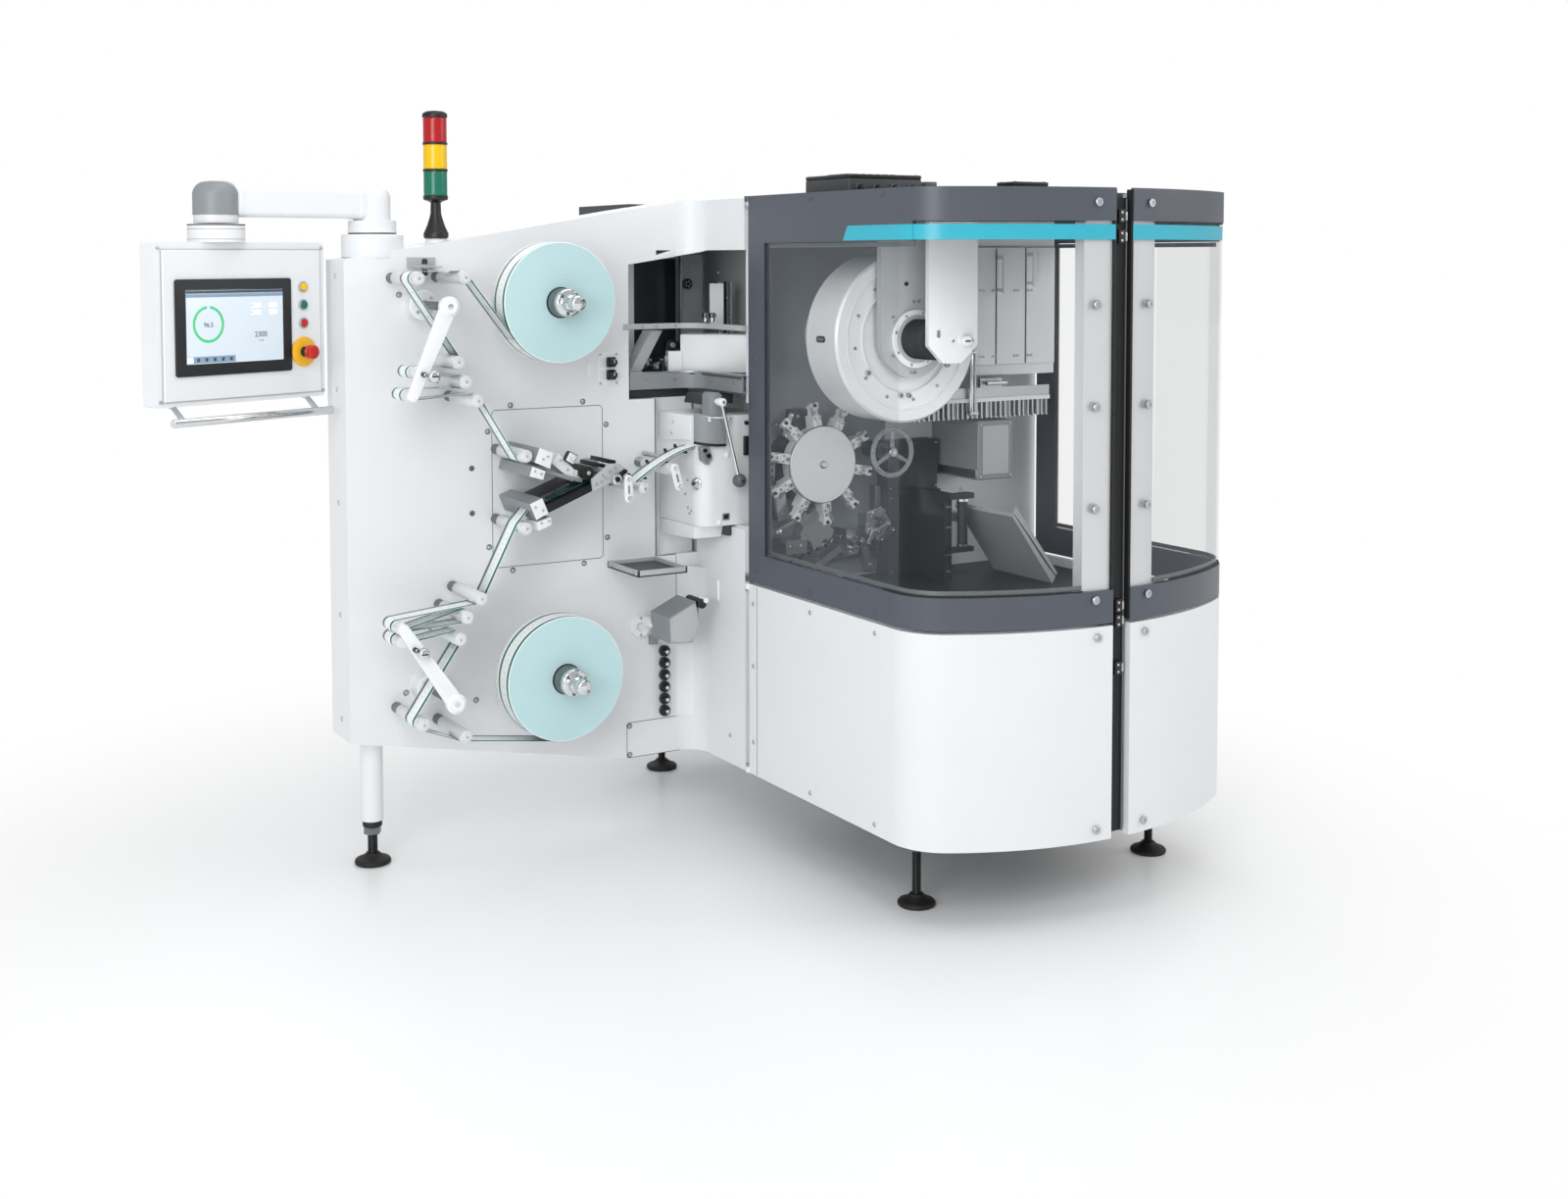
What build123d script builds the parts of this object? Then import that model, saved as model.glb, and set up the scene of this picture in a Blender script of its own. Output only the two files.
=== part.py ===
import os
from math import atan2, cos, degrees, radians, sin, sqrt

from build123d import *

# A candy wrapping machine: a film wall with two reels and two dancer arms, a cabinet,
# and a wrapping head and feed drum behind curved guard doors.
# Millimetres. X runs along the film wall to the right, Y into the machine, Z up from the floor.
# The working frame has its zero at the left front edge of the film wall.

# The whole machine, and the middle of its footprint, to which everything is moved at the end
TOP = 1861
CENTRE_X = 801.8
CENTRE_Y = -332.3

# Film wall
WALL_DEPTH = 160
WALL_LEFT_TOP = 1684
WALL_LEFT_BOTTOM = 366
WALL_KNEE_X = 837
WALL_KNEE_TOP = 1825
HOUSING_BOTTOM = 205
HOUSING_TOP = 1856
SHEET = 12
COVE = 70

# Cabinet behind the guard, and the chamber that opens at the inner corner
SIDE_X = 1075
RIGHT_X = 2137
MIDDLE_X = (SIDE_X + RIGHT_X) / 2
CABINET_FRONT = -290
CABINET_BACK = 620
CHAMBER_LEFT = 850
CHAMBER_DEEP_LEFT = 942
CHAMBER_RIGHT = 1380
CHAMBER_BACK = 500
CHAMBER_BOTTOM = 1271
CHAMBER_TOP = 1709
CHAMBER_LEFT_TOP = 1667
RECESS_LEFT = 936
RECESS_BOTTOM = 801
RECESS_DEPTH = 30

# Guard doors: flat sides, rounded corners and one large front curve
CORNER_RADIUS = 150
FRONT_RADIUS = 905
FRONT_CENTRE_Y = -380
DOOR_BACK = -312
HINGE_Y = -305
HINGE_X = SIDE_X + 3
DOOR_BOTTOM = 761
BAND_TOP = 845
HEAD_BAND = 1778
HEAD_BAND_SIDE = 1728
DOOR_POST = 89
DOOR_SHEET = 12
DOOR_GAP = 58
SKIRT_TOP = 754
SKIRT_SHEET = 24
BED_INSET = 62
BED_TOP = 740

# Feet
FOOT_X = 1203
FOOT_FRONT_Y = -958
FOOT_BACK_Y = 485
LEG_X = 84
LEG_Y = 80
FOOT_RADIUS = 50

# Film path: reels, rollers and dancers stand this far out of the wall
ROLLER_OUT = 228
ROLLER_RADIUS = 18
FILM_FRONT = -193
FILM_BACK = -130
UPPER_REEL = (546, 1565, 166)
LOWER_REEL = (555, 518, 174)
CORE_RADIUS = 40
SPINDLE_TIP = -320
ARM_FRONT = -252
ARM_BACK = -236
UPPER_DANCER = (204, 1560)
UPPER_DANCER_ROLLERS = ((120, 1388), (103, 1328))
LOWER_DANCER = (211, 505)
LOWER_DANCER_ROLLERS = ((70, 682), (70, 717))
UPPER_ROLLERS = ((260, 1636), (131, 1634), (238, 1411), (259, 1358), (292, 1306))
LOWER_ROLLERS = ((296, 773), (256, 726), (235, 669), (130, 452), (249, 404))
SPLICER_ROLLERS = ((430, 1150), (428, 952), (870, 1093), (765, 1040))

# Control panel on its arm
ARM_BASE = (107, 80)
PANEL_PIVOT = (-338, -15)
ARM_HEIGHT = 1836
PANEL_TURN = 23
PANEL_OFFSET = 57
PANEL_WIDTH = 528
PANEL_DEPTH = 61
PANEL_BOTTOM = 1315
PANEL_TOP = 1730

# Mechanisms inside the guard
DRUM = (1365, 1465, 233)
DRUM_BORE = 147
DRUM_FRONT = -680
DRUM_BACK = -530
CARRIER_FRONT = -712
HOOD_FRONT = -830
HEAD = (1272, 1094)
HEAD_FRONT = -400
HEAD_RADIUS = 112
GRIPPERS = 10
FIRST_GRIPPER = -10.5
GRIPPER_REACH = 178
GRIPPER_WHEEL = (1290, 905)
CABINET_X = (1745, 2060)
TABLE_X = (1470, 2000)
TABLE_FRONT = -522
COMB_TEETH = 22
HANDWHEEL = (1498, 1118)
GEAR_LEFT = 965
GEAR_RIGHT = SIDE_X + 115
GEAR_FRONT = -225
GEAR_BOTTOM = 912
GEAR_TOP = 1232
LEVER_PIVOT = (1014, 1275)
LEVER_KNOB = (1073, 1046)


def block(x0, x1, y0, y1, z0, z1):
    size = Box(x1 - x0, y1 - y0, z1 - z0)
    return Pos((x0 + x1) / 2, (y0 + y1) / 2, (z0 + z1) / 2) * size


def rod_y(x, z, y0, y1, radius):
    return Pos(x, (y0 + y1) / 2, z) * Rot(90, 0, 0) * Cylinder(radius, y1 - y0)


def rod_z(x, y, z0, z1, radius):
    return Pos(x, y, (z0 + z1) / 2) * Cylinder(radius, z1 - z0)


def rod_x(y, z, x0, x1, radius):
    return Pos((x0 + x1) / 2, y, z) * Rot(0, 90, 0) * Cylinder(radius, x1 - x0)


def front_plate(points, y0, y1):
    """An outline in X and Z, as seen from the front, made thick from y0 to y1."""
    face = Plane.XZ * Polygon(*points, align=None)
    return Pos(0, y0, 0) * extrude(face, amount=y1 - y0, dir=(0, 1, 0))


def bar(start, end, y0, y1, width):
    """A flat bar with round ends between two points of the XZ plane."""
    length = sqrt((end[0] - start[0]) ** 2 + (end[1] - start[1]) ** 2)
    angle = degrees(atan2(end[1] - start[1], end[0] - start[0]))
    middle = ((start[0] + end[0]) / 2, (start[1] + end[1]) / 2)
    outline = Plane.XZ * Pos(middle[0], middle[1]) * Rot(0, 0, angle) * SlotCenterToCenter(length, width)
    return Pos(0, y0, 0) * extrude(outline, amount=y1 - y0, dir=(0, 1, 0))


def together(*shapes):
    """Several solids that don't touch, kept as one piece."""
    return Compound([solid for shape in shapes for solid in shape.solids()])


def on_circle(centre, radius, angle):
    return (centre[0] + radius * cos(radians(angle)), centre[1] + radius * sin(radians(angle)))


def corner_places():
    """Centre of the left corner curve, and the angle at which it meets the front curve."""
    centre_x = SIDE_X + CORNER_RADIUS
    across = MIDDLE_X - centre_x
    deep = sqrt((FRONT_RADIUS - CORNER_RADIUS) ** 2 - across**2)
    angle = 180 + degrees(atan2(deep, across))
    return (centre_x, FRONT_CENTRE_Y - deep), angle


def guard_face(inset):
    """The guard's outline from above, drawn in by an inset, closed along the back."""
    left_centre, angle = corner_places()
    right_centre = (2 * MIDDLE_X - left_centre[0], left_centre[1])
    front_centre = (MIDDLE_X, FRONT_CENTRE_Y)
    corner = CORNER_RADIUS - inset
    front = FRONT_RADIUS - inset
    left_end = on_circle(left_centre, corner, angle)
    right_end = on_circle(right_centre, corner, 540 - angle)
    left_mid = on_circle(left_centre, corner, (180 + angle) / 2)
    right_mid = on_circle(right_centre, corner, 540 - (180 + angle) / 2)
    with BuildSketch() as sketch:
        with BuildLine():
            Line((SIDE_X + inset, DOOR_BACK), (SIDE_X + inset, left_centre[1]))
            ThreePointArc((SIDE_X + inset, left_centre[1]), left_mid, left_end)
            ThreePointArc(left_end, on_circle(front_centre, front, 270), right_end)
            ThreePointArc(right_end, right_mid, (RIGHT_X - inset, right_centre[1]))
            Line((RIGHT_X - inset, right_centre[1]), (RIGHT_X - inset, DOOR_BACK))
            Line((RIGHT_X - inset, DOOR_BACK), (SIDE_X + inset, DOOR_BACK))
        make_face()
    return sketch.sketch


def guard_leaf(outer, inner, z0, z1):
    """A curved wall between two insets of the guard's outline, over both doors."""
    ring = guard_face(outer) - guard_face(inner)
    return Pos(0, 0, z0) * extrude(ring, amount=z1 - z0)


def left_of_gap():
    return block(SIDE_X - 50, MIDDLE_X - DOOR_GAP / 2, -1400, DOOR_BACK, 0, 2000)


def mirrored(shape):
    """The same piece on the other side of the machine's middle."""
    return mirror(shape, about=Plane.YZ.offset(MIDDLE_X))


def film_wall():
    outline = [
        (0, WALL_LEFT_BOTTOM),
        (0, WALL_LEFT_TOP),
        (WALL_KNEE_X, WALL_KNEE_TOP),
        (1036, HOUSING_TOP),
        (SIDE_X, HOUSING_TOP),
        (SIDE_X, HOUSING_BOTTOM),
        (WALL_KNEE_X, HOUSING_BOTTOM),
    ]
    wall = front_plate(outline, 0, WALL_DEPTH)
    opening = [
        (CHAMBER_LEFT, CHAMBER_BOTTOM),
        (CHAMBER_LEFT, CHAMBER_LEFT_TOP),
        (1000, CHAMBER_TOP),
        (SIDE_X, CHAMBER_TOP),
        (SIDE_X, CHAMBER_BOTTOM),
    ]
    wall -= front_plate(opening, 0, WALL_DEPTH - SHEET)
    wall -= block(CHAMBER_DEEP_LEFT, SIDE_X, 0, WALL_DEPTH, CHAMBER_BOTTOM, CHAMBER_TOP)
    wall -= block(RECESS_LEFT, SIDE_X, 0, RECESS_DEPTH, RECESS_BOTTOM, CHAMBER_BOTTOM)
    return wall


def cove(z0, z1):
    """The round inside corner between the film wall and the side wall."""
    corner = block(SIDE_X - COVE, SIDE_X, -COVE, 0, z0, z1)
    return corner - rod_z(SIDE_X - COVE, -COVE, z0 - 1, z1 + 1, COVE)


def corner_wall():
    """The side wall from the film wall to the guard, under and over the chamber's opening."""
    lower = block(SIDE_X, SIDE_X + SHEET, CABINET_FRONT, 0, HOUSING_BOTTOM, 905)
    upper = block(SIDE_X, SIDE_X + SHEET, CABINET_FRONT, 0, CHAMBER_TOP, HOUSING_TOP)
    return together(lower + cove(HOUSING_BOTTOM, RECESS_BOTTOM - 40), upper + cove(CHAMBER_TOP, HOUSING_TOP))


def core_cabinet():
    body = block(SIDE_X + SHEET, RIGHT_X - SHEET, CABINET_FRONT, CABINET_BACK - SHEET, HOUSING_BOTTOM, 1836)
    body -= block(SIDE_X, CHAMBER_RIGHT, CABINET_FRONT + SHEET, CHAMBER_BACK, CHAMBER_BOTTOM, CHAMBER_TOP)
    body += block(SIDE_X, SIDE_X + SHEET, WALL_DEPTH, CABINET_BACK - SHEET, HOUSING_BOTTOM, 1836)
    body -= block(SIDE_X - 1, SIDE_X + 20, WALL_DEPTH, CHAMBER_BACK, CHAMBER_BOTTOM, CHAMBER_TOP)
    body -= block(SIDE_X, GEAR_RIGHT, CABINET_FRONT - 1, RECESS_DEPTH, GEAR_BOTTOM, CHAMBER_BOTTOM)
    return body


def side_panel():
    return block(RIGHT_X - SHEET, RIGHT_X, CABINET_FRONT, CABINET_BACK, HOUSING_BOTTOM, 1836)


def back_doors():
    """Two plain service doors over the cabinet's back, with a seam between them."""
    left = block(SIDE_X, MIDDLE_X - 3, CABINET_BACK - SHEET, CABINET_BACK, HOUSING_BOTTOM, 1836)
    right = block(MIDDLE_X + 3, RIGHT_X - SHEET, CABINET_BACK - SHEET, CABINET_BACK, HOUSING_BOTTOM, 1836)
    return together(left, right)


def chamber_housing():
    body = block(CHAMBER_DEEP_LEFT - SHEET, SIDE_X, WALL_DEPTH, CHAMBER_BACK + SHEET, 1240, 1849)
    return body - block(CHAMBER_DEEP_LEFT, SIDE_X, WALL_DEPTH, CHAMBER_BACK, CHAMBER_BOTTOM, CHAMBER_TOP)


def guard_frame():
    """The grey painted frame of the left door: head band, foot band and hinge post."""
    leaf = guard_leaf(0, DOOR_SHEET, DOOR_BOTTOM, TOP)
    flat_side = block(SIDE_X - 1, SIDE_X + 30, corner_places()[0][1] - 60, DOOR_BACK, HEAD_BAND_SIDE, TOP)
    post = block(SIDE_X - 1, SIDE_X + 30, DOOR_BACK - DOOR_POST, DOOR_BACK, DOOR_BOTTOM, TOP)
    bands = block(SIDE_X - 1, MIDDLE_X, -1400, DOOR_BACK, DOOR_BOTTOM, BAND_TOP)
    bands += block(SIDE_X - 1, MIDDLE_X, -1400, DOOR_BACK, HEAD_BAND, TOP)
    frame = leaf & (bands + flat_side + post) & left_of_gap()
    for low in (DOOR_BOTTOM, TOP - 16):
        frame += rod_z(HINGE_X, HINGE_Y, low, low + 16, 10) - rod_z(HINGE_X, HINGE_Y, low - 1, low + 17, 5.3)
    return frame


def guard_window(frame):
    sheet = guard_leaf(3, 9, BAND_TOP - 20, HEAD_BAND + 20) & left_of_gap()
    return sheet - frame


def door_stile():
    stile = guard_leaf(DOOR_SHEET, 46, DOOR_BOTTOM + 14, TOP - 14)
    return stile & block(MIDDLE_X - DOOR_GAP / 2 - 88, MIDDLE_X - DOOR_GAP / 2 - 3, -1400, -1100, 0, 2000)


def skirt():
    leaf = guard_leaf(0, SKIRT_SHEET, HOUSING_BOTTOM, SKIRT_TOP) & left_of_gap()
    for low in (HOUSING_BOTTOM, SKIRT_TOP - 16):
        leaf += rod_z(HINGE_X, HINGE_Y, low, low + 16, 10) - rod_z(HINGE_X, HINGE_Y, low - 1, low + 17, 5.3)
    return leaf


def hinge_pins():
    """Brackets on the cabinet's front edges with the pins that the doors turn on."""
    pins = []
    for low, high in ((221, 227), (732, 738), (777, 783), (1829, 1835)):
        bracket = block(HINGE_X - 4, HINGE_X + 9, HINGE_Y - 4, CABINET_FRONT, low, high)
        up = high + 24 if low in (732, 1829) else low - 16
        pin = rod_z(HINGE_X, HINGE_Y, min(low, up), max(high, up), 5)
        pins.append(bracket + pin)
        pins.append(mirrored(bracket + pin))
    return together(*pins)


def machine_bed():
    return Pos(0, 0, HOUSING_BOTTOM) * extrude(guard_face(BED_INSET), amount=BED_TOP - HOUSING_BOTTOM)


def bed_filler():
    """The strip of the bed between the doors' back edge and the cabinet."""
    left = SIDE_X + BED_INSET
    return block(left, RIGHT_X - BED_INSET, DOOR_BACK, CABINET_FRONT, HOUSING_BOTTOM, BED_TOP)


def guard_roof():
    roof = Pos(0, 0, 1836) * extrude(guard_face(56), amount=14)
    back = block(SIDE_X + 56, RIGHT_X - 56, DOOR_BACK, CABINET_FRONT, 1836, 1850)
    over = block(SIDE_X + SHEET, RIGHT_X, CABINET_FRONT, CABINET_BACK, 1836, 1850)
    return roof + back + over


def front_post():
    half = DOOR_GAP / 2 - 6
    post = block(MIDDLE_X - half, MIDDLE_X + half, -1266, -1215, HOUSING_BOTTOM + 10, 1836)
    return post - machine_bed()


def foot(x, y, top, stem):
    disc = rod_z(x, y, 0, 14, FOOT_RADIUS) + Pos(x, y, 20) * Cone(FOOT_RADIUS - 8, 16, 12)
    rod = rod_z(x, y, 14, top, 12)
    nut = Pos(x, y, top - 60) * extrude(RegularPolygon(20, 6), amount=16)
    return disc + rod + nut + rod_z(x, y, top - 28, top, stem)


def machine_feet():
    feet = []
    for x in (FOOT_X, 2 * MIDDLE_X - FOOT_X):
        for y in (FOOT_FRONT_Y, FOOT_BACK_Y):
            feet.append(foot(x, y, HOUSING_BOTTOM, 34))
    return together(*feet)


def left_leg():
    post = rod_z(LEG_X, LEG_Y, 130, WALL_LEFT_BOTTOM, 32)
    trimmed = post - film_wall()
    return trimmed + foot(LEG_X, LEG_Y, 158, 24)


def reel_film(x, z, radius):
    return rod_y(x, z, FILM_FRONT, FILM_BACK, radius) - rod_y(x, z, FILM_FRONT - 1, FILM_BACK + 1, CORE_RADIUS + 3)


def reel_spindle(x, z, radius):
    body = rod_y(x, z, FILM_FRONT - 62, FILM_BACK, CORE_RADIUS) + rod_y(x, z, SPINDLE_TIP, FILM_BACK, 22)
    body += rod_y(x, z, FILM_FRONT - 4, FILM_BACK, CORE_RADIUS + 3)
    flange = rod_y(x, z, FILM_BACK, FILM_BACK + 8, radius + 2)
    return body + flange + rod_y(x, z, FILM_BACK, -20, 26)


def wall_bearing(x, z, outer, bore, depth):
    return rod_y(x, z, -depth, 0, outer) - rod_y(x, z, -depth - 1, 0, bore)


def wall_bearings():
    rings = []
    for x, z, _ in (UPPER_REEL, LOWER_REEL):
        rings.append(wall_bearing(x, z, 48, 26.4, 45))
    for x, z in (UPPER_DANCER, LOWER_DANCER):
        rings.append(wall_bearing(x, z, 42, 12.4, 62))
    return together(*rings)


def wall_roller(x, z):
    """A guide roller on a stub axle that stands out of the wall."""
    stub = rod_y(x, z, -46, 0, 14)
    return stub + rod_y(x, z, -ROLLER_OUT + 6, -44, ROLLER_RADIUS) + rod_y(x, z, -ROLLER_OUT, -ROLLER_OUT + 6, 13)


def roller_set(places):
    rollers = [wall_roller(x, z) for x, z in places]
    return together(*rollers)


def dancer(pivot, rollers):
    far = rollers[-1]
    arm = bar(pivot, far, ARM_FRONT, ARM_BACK, 34)
    hub = rod_y(pivot[0], pivot[1], ARM_FRONT - 8, ARM_BACK, 27)
    shaft = rod_y(pivot[0], pivot[1], ARM_BACK, -20, 12)
    piece = arm + hub + shaft
    for x, z in rollers:
        piece += rod_y(x, z, ARM_BACK, FILM_BACK + 12, ROLLER_RADIUS)
    x = pivot[0] + 0.72 * (far[0] - pivot[0])
    z = pivot[1] + 0.72 * (far[1] - pivot[1])
    return piece + rod_y(x, z, ARM_FRONT - 30, ARM_FRONT, 16)


def splicer_frame():
    side = front_plate([(623, 1075), (676, 1115), (709, 1113), (727, 1095), (709, 1069), (676, 1056), (623, 1036)], -225, -215)
    side += front_plate([(623, 1075), (676, 1115), (709, 1113), (727, 1095), (709, 1069), (676, 1056), (623, 1036)], -60, -50)
    tray = front_plate([(455, 972), (676, 1056), (668, 1078), (447, 994)], -225, 0)
    return side + tray


def splicer_covers():
    lower = front_plate([(437, 1021), (475, 1036), (493, 992), (447, 996)], -226, 0) - splicer_frame()
    first = front_plate([(464, 1170), (506, 1153), (488, 1113), (451, 1124)], -225, 0)
    second = front_plate([(521, 1122), (546, 1146), (592, 1093), (587, 1060)], -180, 0)
    links = [bar((728, 1070), (730, 1017), -240, -232, 24) + rod_y(728, 1070, -232, 0, 8)]
    links.append(bar((875, 1092), (889, 1039), -242, -234, 24) + rod_y(889, 1039, -234, 0, 8))
    return together(lower, first, second, *links)


def film_guide():
    curve = [(777, 1056), (811, 1096), (839, 1120), (907, 1146), (956, 1153)]
    under = [(960, 1143), (910, 1136), (845, 1110), (820, 1089), (785, 1048)]
    return front_plate(curve + under, -190, -125)


def gear_housing():
    body = block(GEAR_LEFT, GEAR_RIGHT, GEAR_FRONT, RECESS_DEPTH, GEAR_BOTTOM, GEAR_TOP)
    body = fillet(body.edges().filter_by(Axis.Z).group_by(Axis.Y)[0].sort_by(Axis.X)[0], 45)
    bracket = block(996, 1032, -235, -180, GEAR_TOP, 1300)
    bracket -= rod_y(LEVER_PIVOT[0], LEVER_PIVOT[1], -236, -179, 12.3)
    return body + block(985, 1065, -245, GEAR_FRONT, 1130, 1215) + bracket


def hand_lever():
    rod = bar(LEVER_PIVOT, LEVER_KNOB, -267, -257, 10)
    hub = rod_y(LEVER_PIVOT[0], LEVER_PIVOT[1], -272, -200, 12)
    knob = Pos(LEVER_KNOB[0], -262, LEVER_KNOB[1]) * Sphere(20)
    return rod + hub + knob


def chamber_fittings():
    """In the access chamber: the cross rail, the film sensor's box, a tray and a slanting duct."""
    rail = block(835, SIDE_X, -8, 0, 1476, 1492)
    tray = block(CHAMBER_LEFT, 1000, 4, 14, CHAMBER_BOTTOM, 1340)
    box = block(1005, 1200, -100, 110, CHAMBER_BOTTOM, 1468)
    box = chamfer(box.edges().group_by(Axis.Y)[0], 4)
    duct = front_plate([(862, 1345), (900, 1345), (990, 1455), (955, 1455)], 40, 110)
    lamp = block(1050, 1130, 240, 300, 1500, 1640) + block(1086, 1096, 260, CHAMBER_BACK, 1560, 1580)
    return together(rail, tray, box, duct, lamp)


def wall_controls():
    """Two rotary switches on a plate, and the row of compressed-air knobs."""
    plate = block(752, 812, -3, 0, 1318, 1412)
    plate += block(775, 800, -30, -3, 1372, 1396) + block(775, 800, -30, -3, 1335, 1359)
    knobs = [rod_y(956, 336 + step * 36, -30, 0, 16) for step in range(6)]
    return together(plate, *knobs)


def wall_fittings():
    """The shelf tray, the print-mark sensor's box on its flange, and the dancer's sensor plate."""
    tray = block(777, 935, -200, 0, 781, 800) - block(783, 929, -194, -6, 786, 801)
    points = [(880, 640), (900, 690), (985, 720), (1030, 700), (1010, 600), (900, 600)]
    body = front_plate(points, -180, -60)
    body = chamfer(body.edges().group_by(Axis.Y)[0], 3) + rod_y(930, 650, -62, 0, 40)
    bracket = block(176, 256, -6, 0, 1662, 1690) + block(176, 256, -60, -6, 1662, 1666)
    return together(tray, body, bracket)


def stack_light():
    base = rod_z(291, 80, 1742, 1756, 35) + Pos(291, 80, 1784) * Cone(35, 15, 56)
    stem = rod_z(291, 80, 1808, 1850, 13) + rod_z(291, 80, 1850, 2098, 35)
    socket = rod_z(291, 80, 1700, 1742, 30) - film_wall()
    return base + stem + socket


def arm_base():
    base = rod_z(ARM_BASE[0], ARM_BASE[1], 1690, 1753, 84)
    return fillet(base.edges().group_by(Axis.Z)[-1], 5) - film_wall()


def panel_arm():
    length = sqrt((ARM_BASE[0] - PANEL_PIVOT[0]) ** 2 + (ARM_BASE[1] - PANEL_PIVOT[1]) ** 2)
    angle = degrees(atan2(PANEL_PIVOT[1] - ARM_BASE[1], PANEL_PIVOT[0] - ARM_BASE[0]))
    beam = Pos(length / 2, 0, ARM_HEIGHT) * Box(length, 76, 81)
    beam = fillet(beam.edges().filter_by(Axis.X), 14)
    near = rod_z(0, 0, 1757, 1790, 65) + rod_z(0, 0, 1790, ARM_HEIGHT + 47, 50)
    near = fillet(near.edges().group_by(Axis.Z)[-1], 30)
    far = rod_z(length, 0, 1779, ARM_HEIGHT + 10, 56)
    return Pos(ARM_BASE[0], ARM_BASE[1], 0) * Rot(0, 0, angle) * (beam + near + far)


def arm_cap():
    """The grey moulded cap over the arm's outer joint."""
    cap = rod_z(PANEL_PIVOT[0], PANEL_PIVOT[1], ARM_HEIGHT - 36, ARM_HEIGHT + 51, 58)
    return fillet(cap.edges().group_by(Axis.Z)[-1], 36) - panel_arm()


def panel_place():
    """The middle of the panel's front: off to one side of the joint, and half its depth before it."""
    return Pos(PANEL_PIVOT[0], PANEL_PIVOT[1], 0) * Rot(0, 0, PANEL_TURN) * Pos(PANEL_OFFSET, -PANEL_DEPTH / 2, 0)


def panel_box():
    half = PANEL_WIDTH / 2
    body = block(-half, half, 0, PANEL_DEPTH, PANEL_BOTTOM, PANEL_TOP)
    body = fillet(body.edges().filter_by(Axis.Y), 12)
    front = block(-half + 18, half - 16, -6, 0, PANEL_BOTTOM + 14, PANEL_TOP - 20)
    body += chamfer(front.edges().group_by(Axis.Y)[0], 2)
    flange = rod_z(PANEL_PIVOT[0], PANEL_PIVOT[1], PANEL_TOP, 1775, 72)
    return panel_place() * body + flange


def panel_screen():
    return panel_place() * chamfer(block(-214, 146, -12, -6, 1390, 1636).edges().group_by(Axis.Y)[0], 2)


def panel_buttons():
    buttons = [panel_place() * rod_y(187, z, -18, -6, 14) for z in (1612, 1564, 1515)]
    stop = rod_y(187, 1438, -12, -6, 40) + rod_y(187, 1438, -34, -12, 14) + rod_y(187, 1438, -54, -34, 19)
    stop = panel_place() * stop
    return together(*buttons, stop)


def panel_handle():
    handle = rod_x(-42, 1278, -250, 254, 11)
    for x in (-215, 205):
        handle += block(x - 6, x + 6, -44, 20, 1276, 1284) + block(x - 6, x + 6, 12, 20, 1284, PANEL_BOTTOM)
    return panel_place() * handle


def feed_drum():
    """A wide ring with a stepped front face, on a back wall that turns round the carrier's axle."""
    x, z, radius = DRUM
    ring = rod_y(x, z, DRUM_FRONT, DRUM_BACK, radius)
    ring = chamfer(ring.edges().group_by(Axis.Y)[0], 6)
    ring -= rod_y(x, z, DRUM_FRONT - 1, DRUM_BACK - 20, DRUM_BORE)
    ring -= rod_y(x, z, DRUM_FRONT - 1, DRUM_FRONT + 4, 195)
    ring -= rod_y(x, z, DRUM_BACK - 30, DRUM_BACK + 1, 60.4)
    return ring


def drum_column():
    """The drum's axle, and the plate with a round foot that hangs in front of it from the roof."""
    x, z, _ = DRUM
    axle = rod_y(x, z, DRUM_BACK + 8, CABINET_FRONT, 90) + rod_y(x, z, -692, DRUM_BACK + 10, 60)
    plate = block(x - 108, x + 108, CARRIER_FRONT, -692, z, 1836) + rod_y(x, z, CARRIER_FRONT, -692, 108)
    hub = rod_y(x, z, CARRIER_FRONT - 14, CARRIER_FRONT, 80)
    return axle + plate + chamfer(hub.edges().group_by(Axis.Y)[0], 4)


def drum_bellows():
    """A ribbed rubber duct between the carrier plate and the hood plate."""
    x, z, _ = DRUM
    start = CARRIER_FRONT - 14
    step = (HOOD_FRONT + 16 - start) / 8
    duct = rod_y(x, z, HOOD_FRONT + 16, start, 50)
    for rib in range(1, 8):
        duct += Pos(x, start + step * rib, z) * Rot(90, 0, 0) * Torus(50, 4)
    return duct


def feed_hood():
    """The plate that closes the product inlet in front of the drum, with its locking knob."""
    outline = [(1330, 1836), (1330, 1450), (1378, 1402), (1440, 1402), (1492, 1450), (1492, 1836)]
    plate = front_plate(outline, HOOD_FRONT, HOOD_FRONT + 16)
    plate = fillet(plate.edges().filter_by(Axis.Y).group_by(Axis.Z)[0], 18)
    knob = rod_y(1444, 1462, HOOD_FRONT - 22, HOOD_FRONT, 15)
    return plate + chamfer(knob.edges().group_by(Axis.Y)[0], 2)


def feed_cabinet():
    """A cupboard with two doors over the feed table; a bow handle on each, and one on its foot."""
    left, right = CABINET_X
    body = block(left, right, -470, CABINET_FRONT, 1335, 1836)
    for x0, x1 in ((left + 4, left + 84), (left + 88, left + 196), (left + 200, right - 4)):
        door = block(x0, x1, -480, -470, 1366, 1716)
        body += chamfer(door.edges().group_by(Axis.Y)[0], 2)
    for x, z0, z1 in ((1838, 1588, 1684), (1952, 1608, 1693)):
        body += rod_y(x, z0, -506, -478, 5) + rod_y(x, z1, -506, -478, 5) + rod_z(x, -508, z0 - 9, z1 + 9, 6)
    return body


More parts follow.
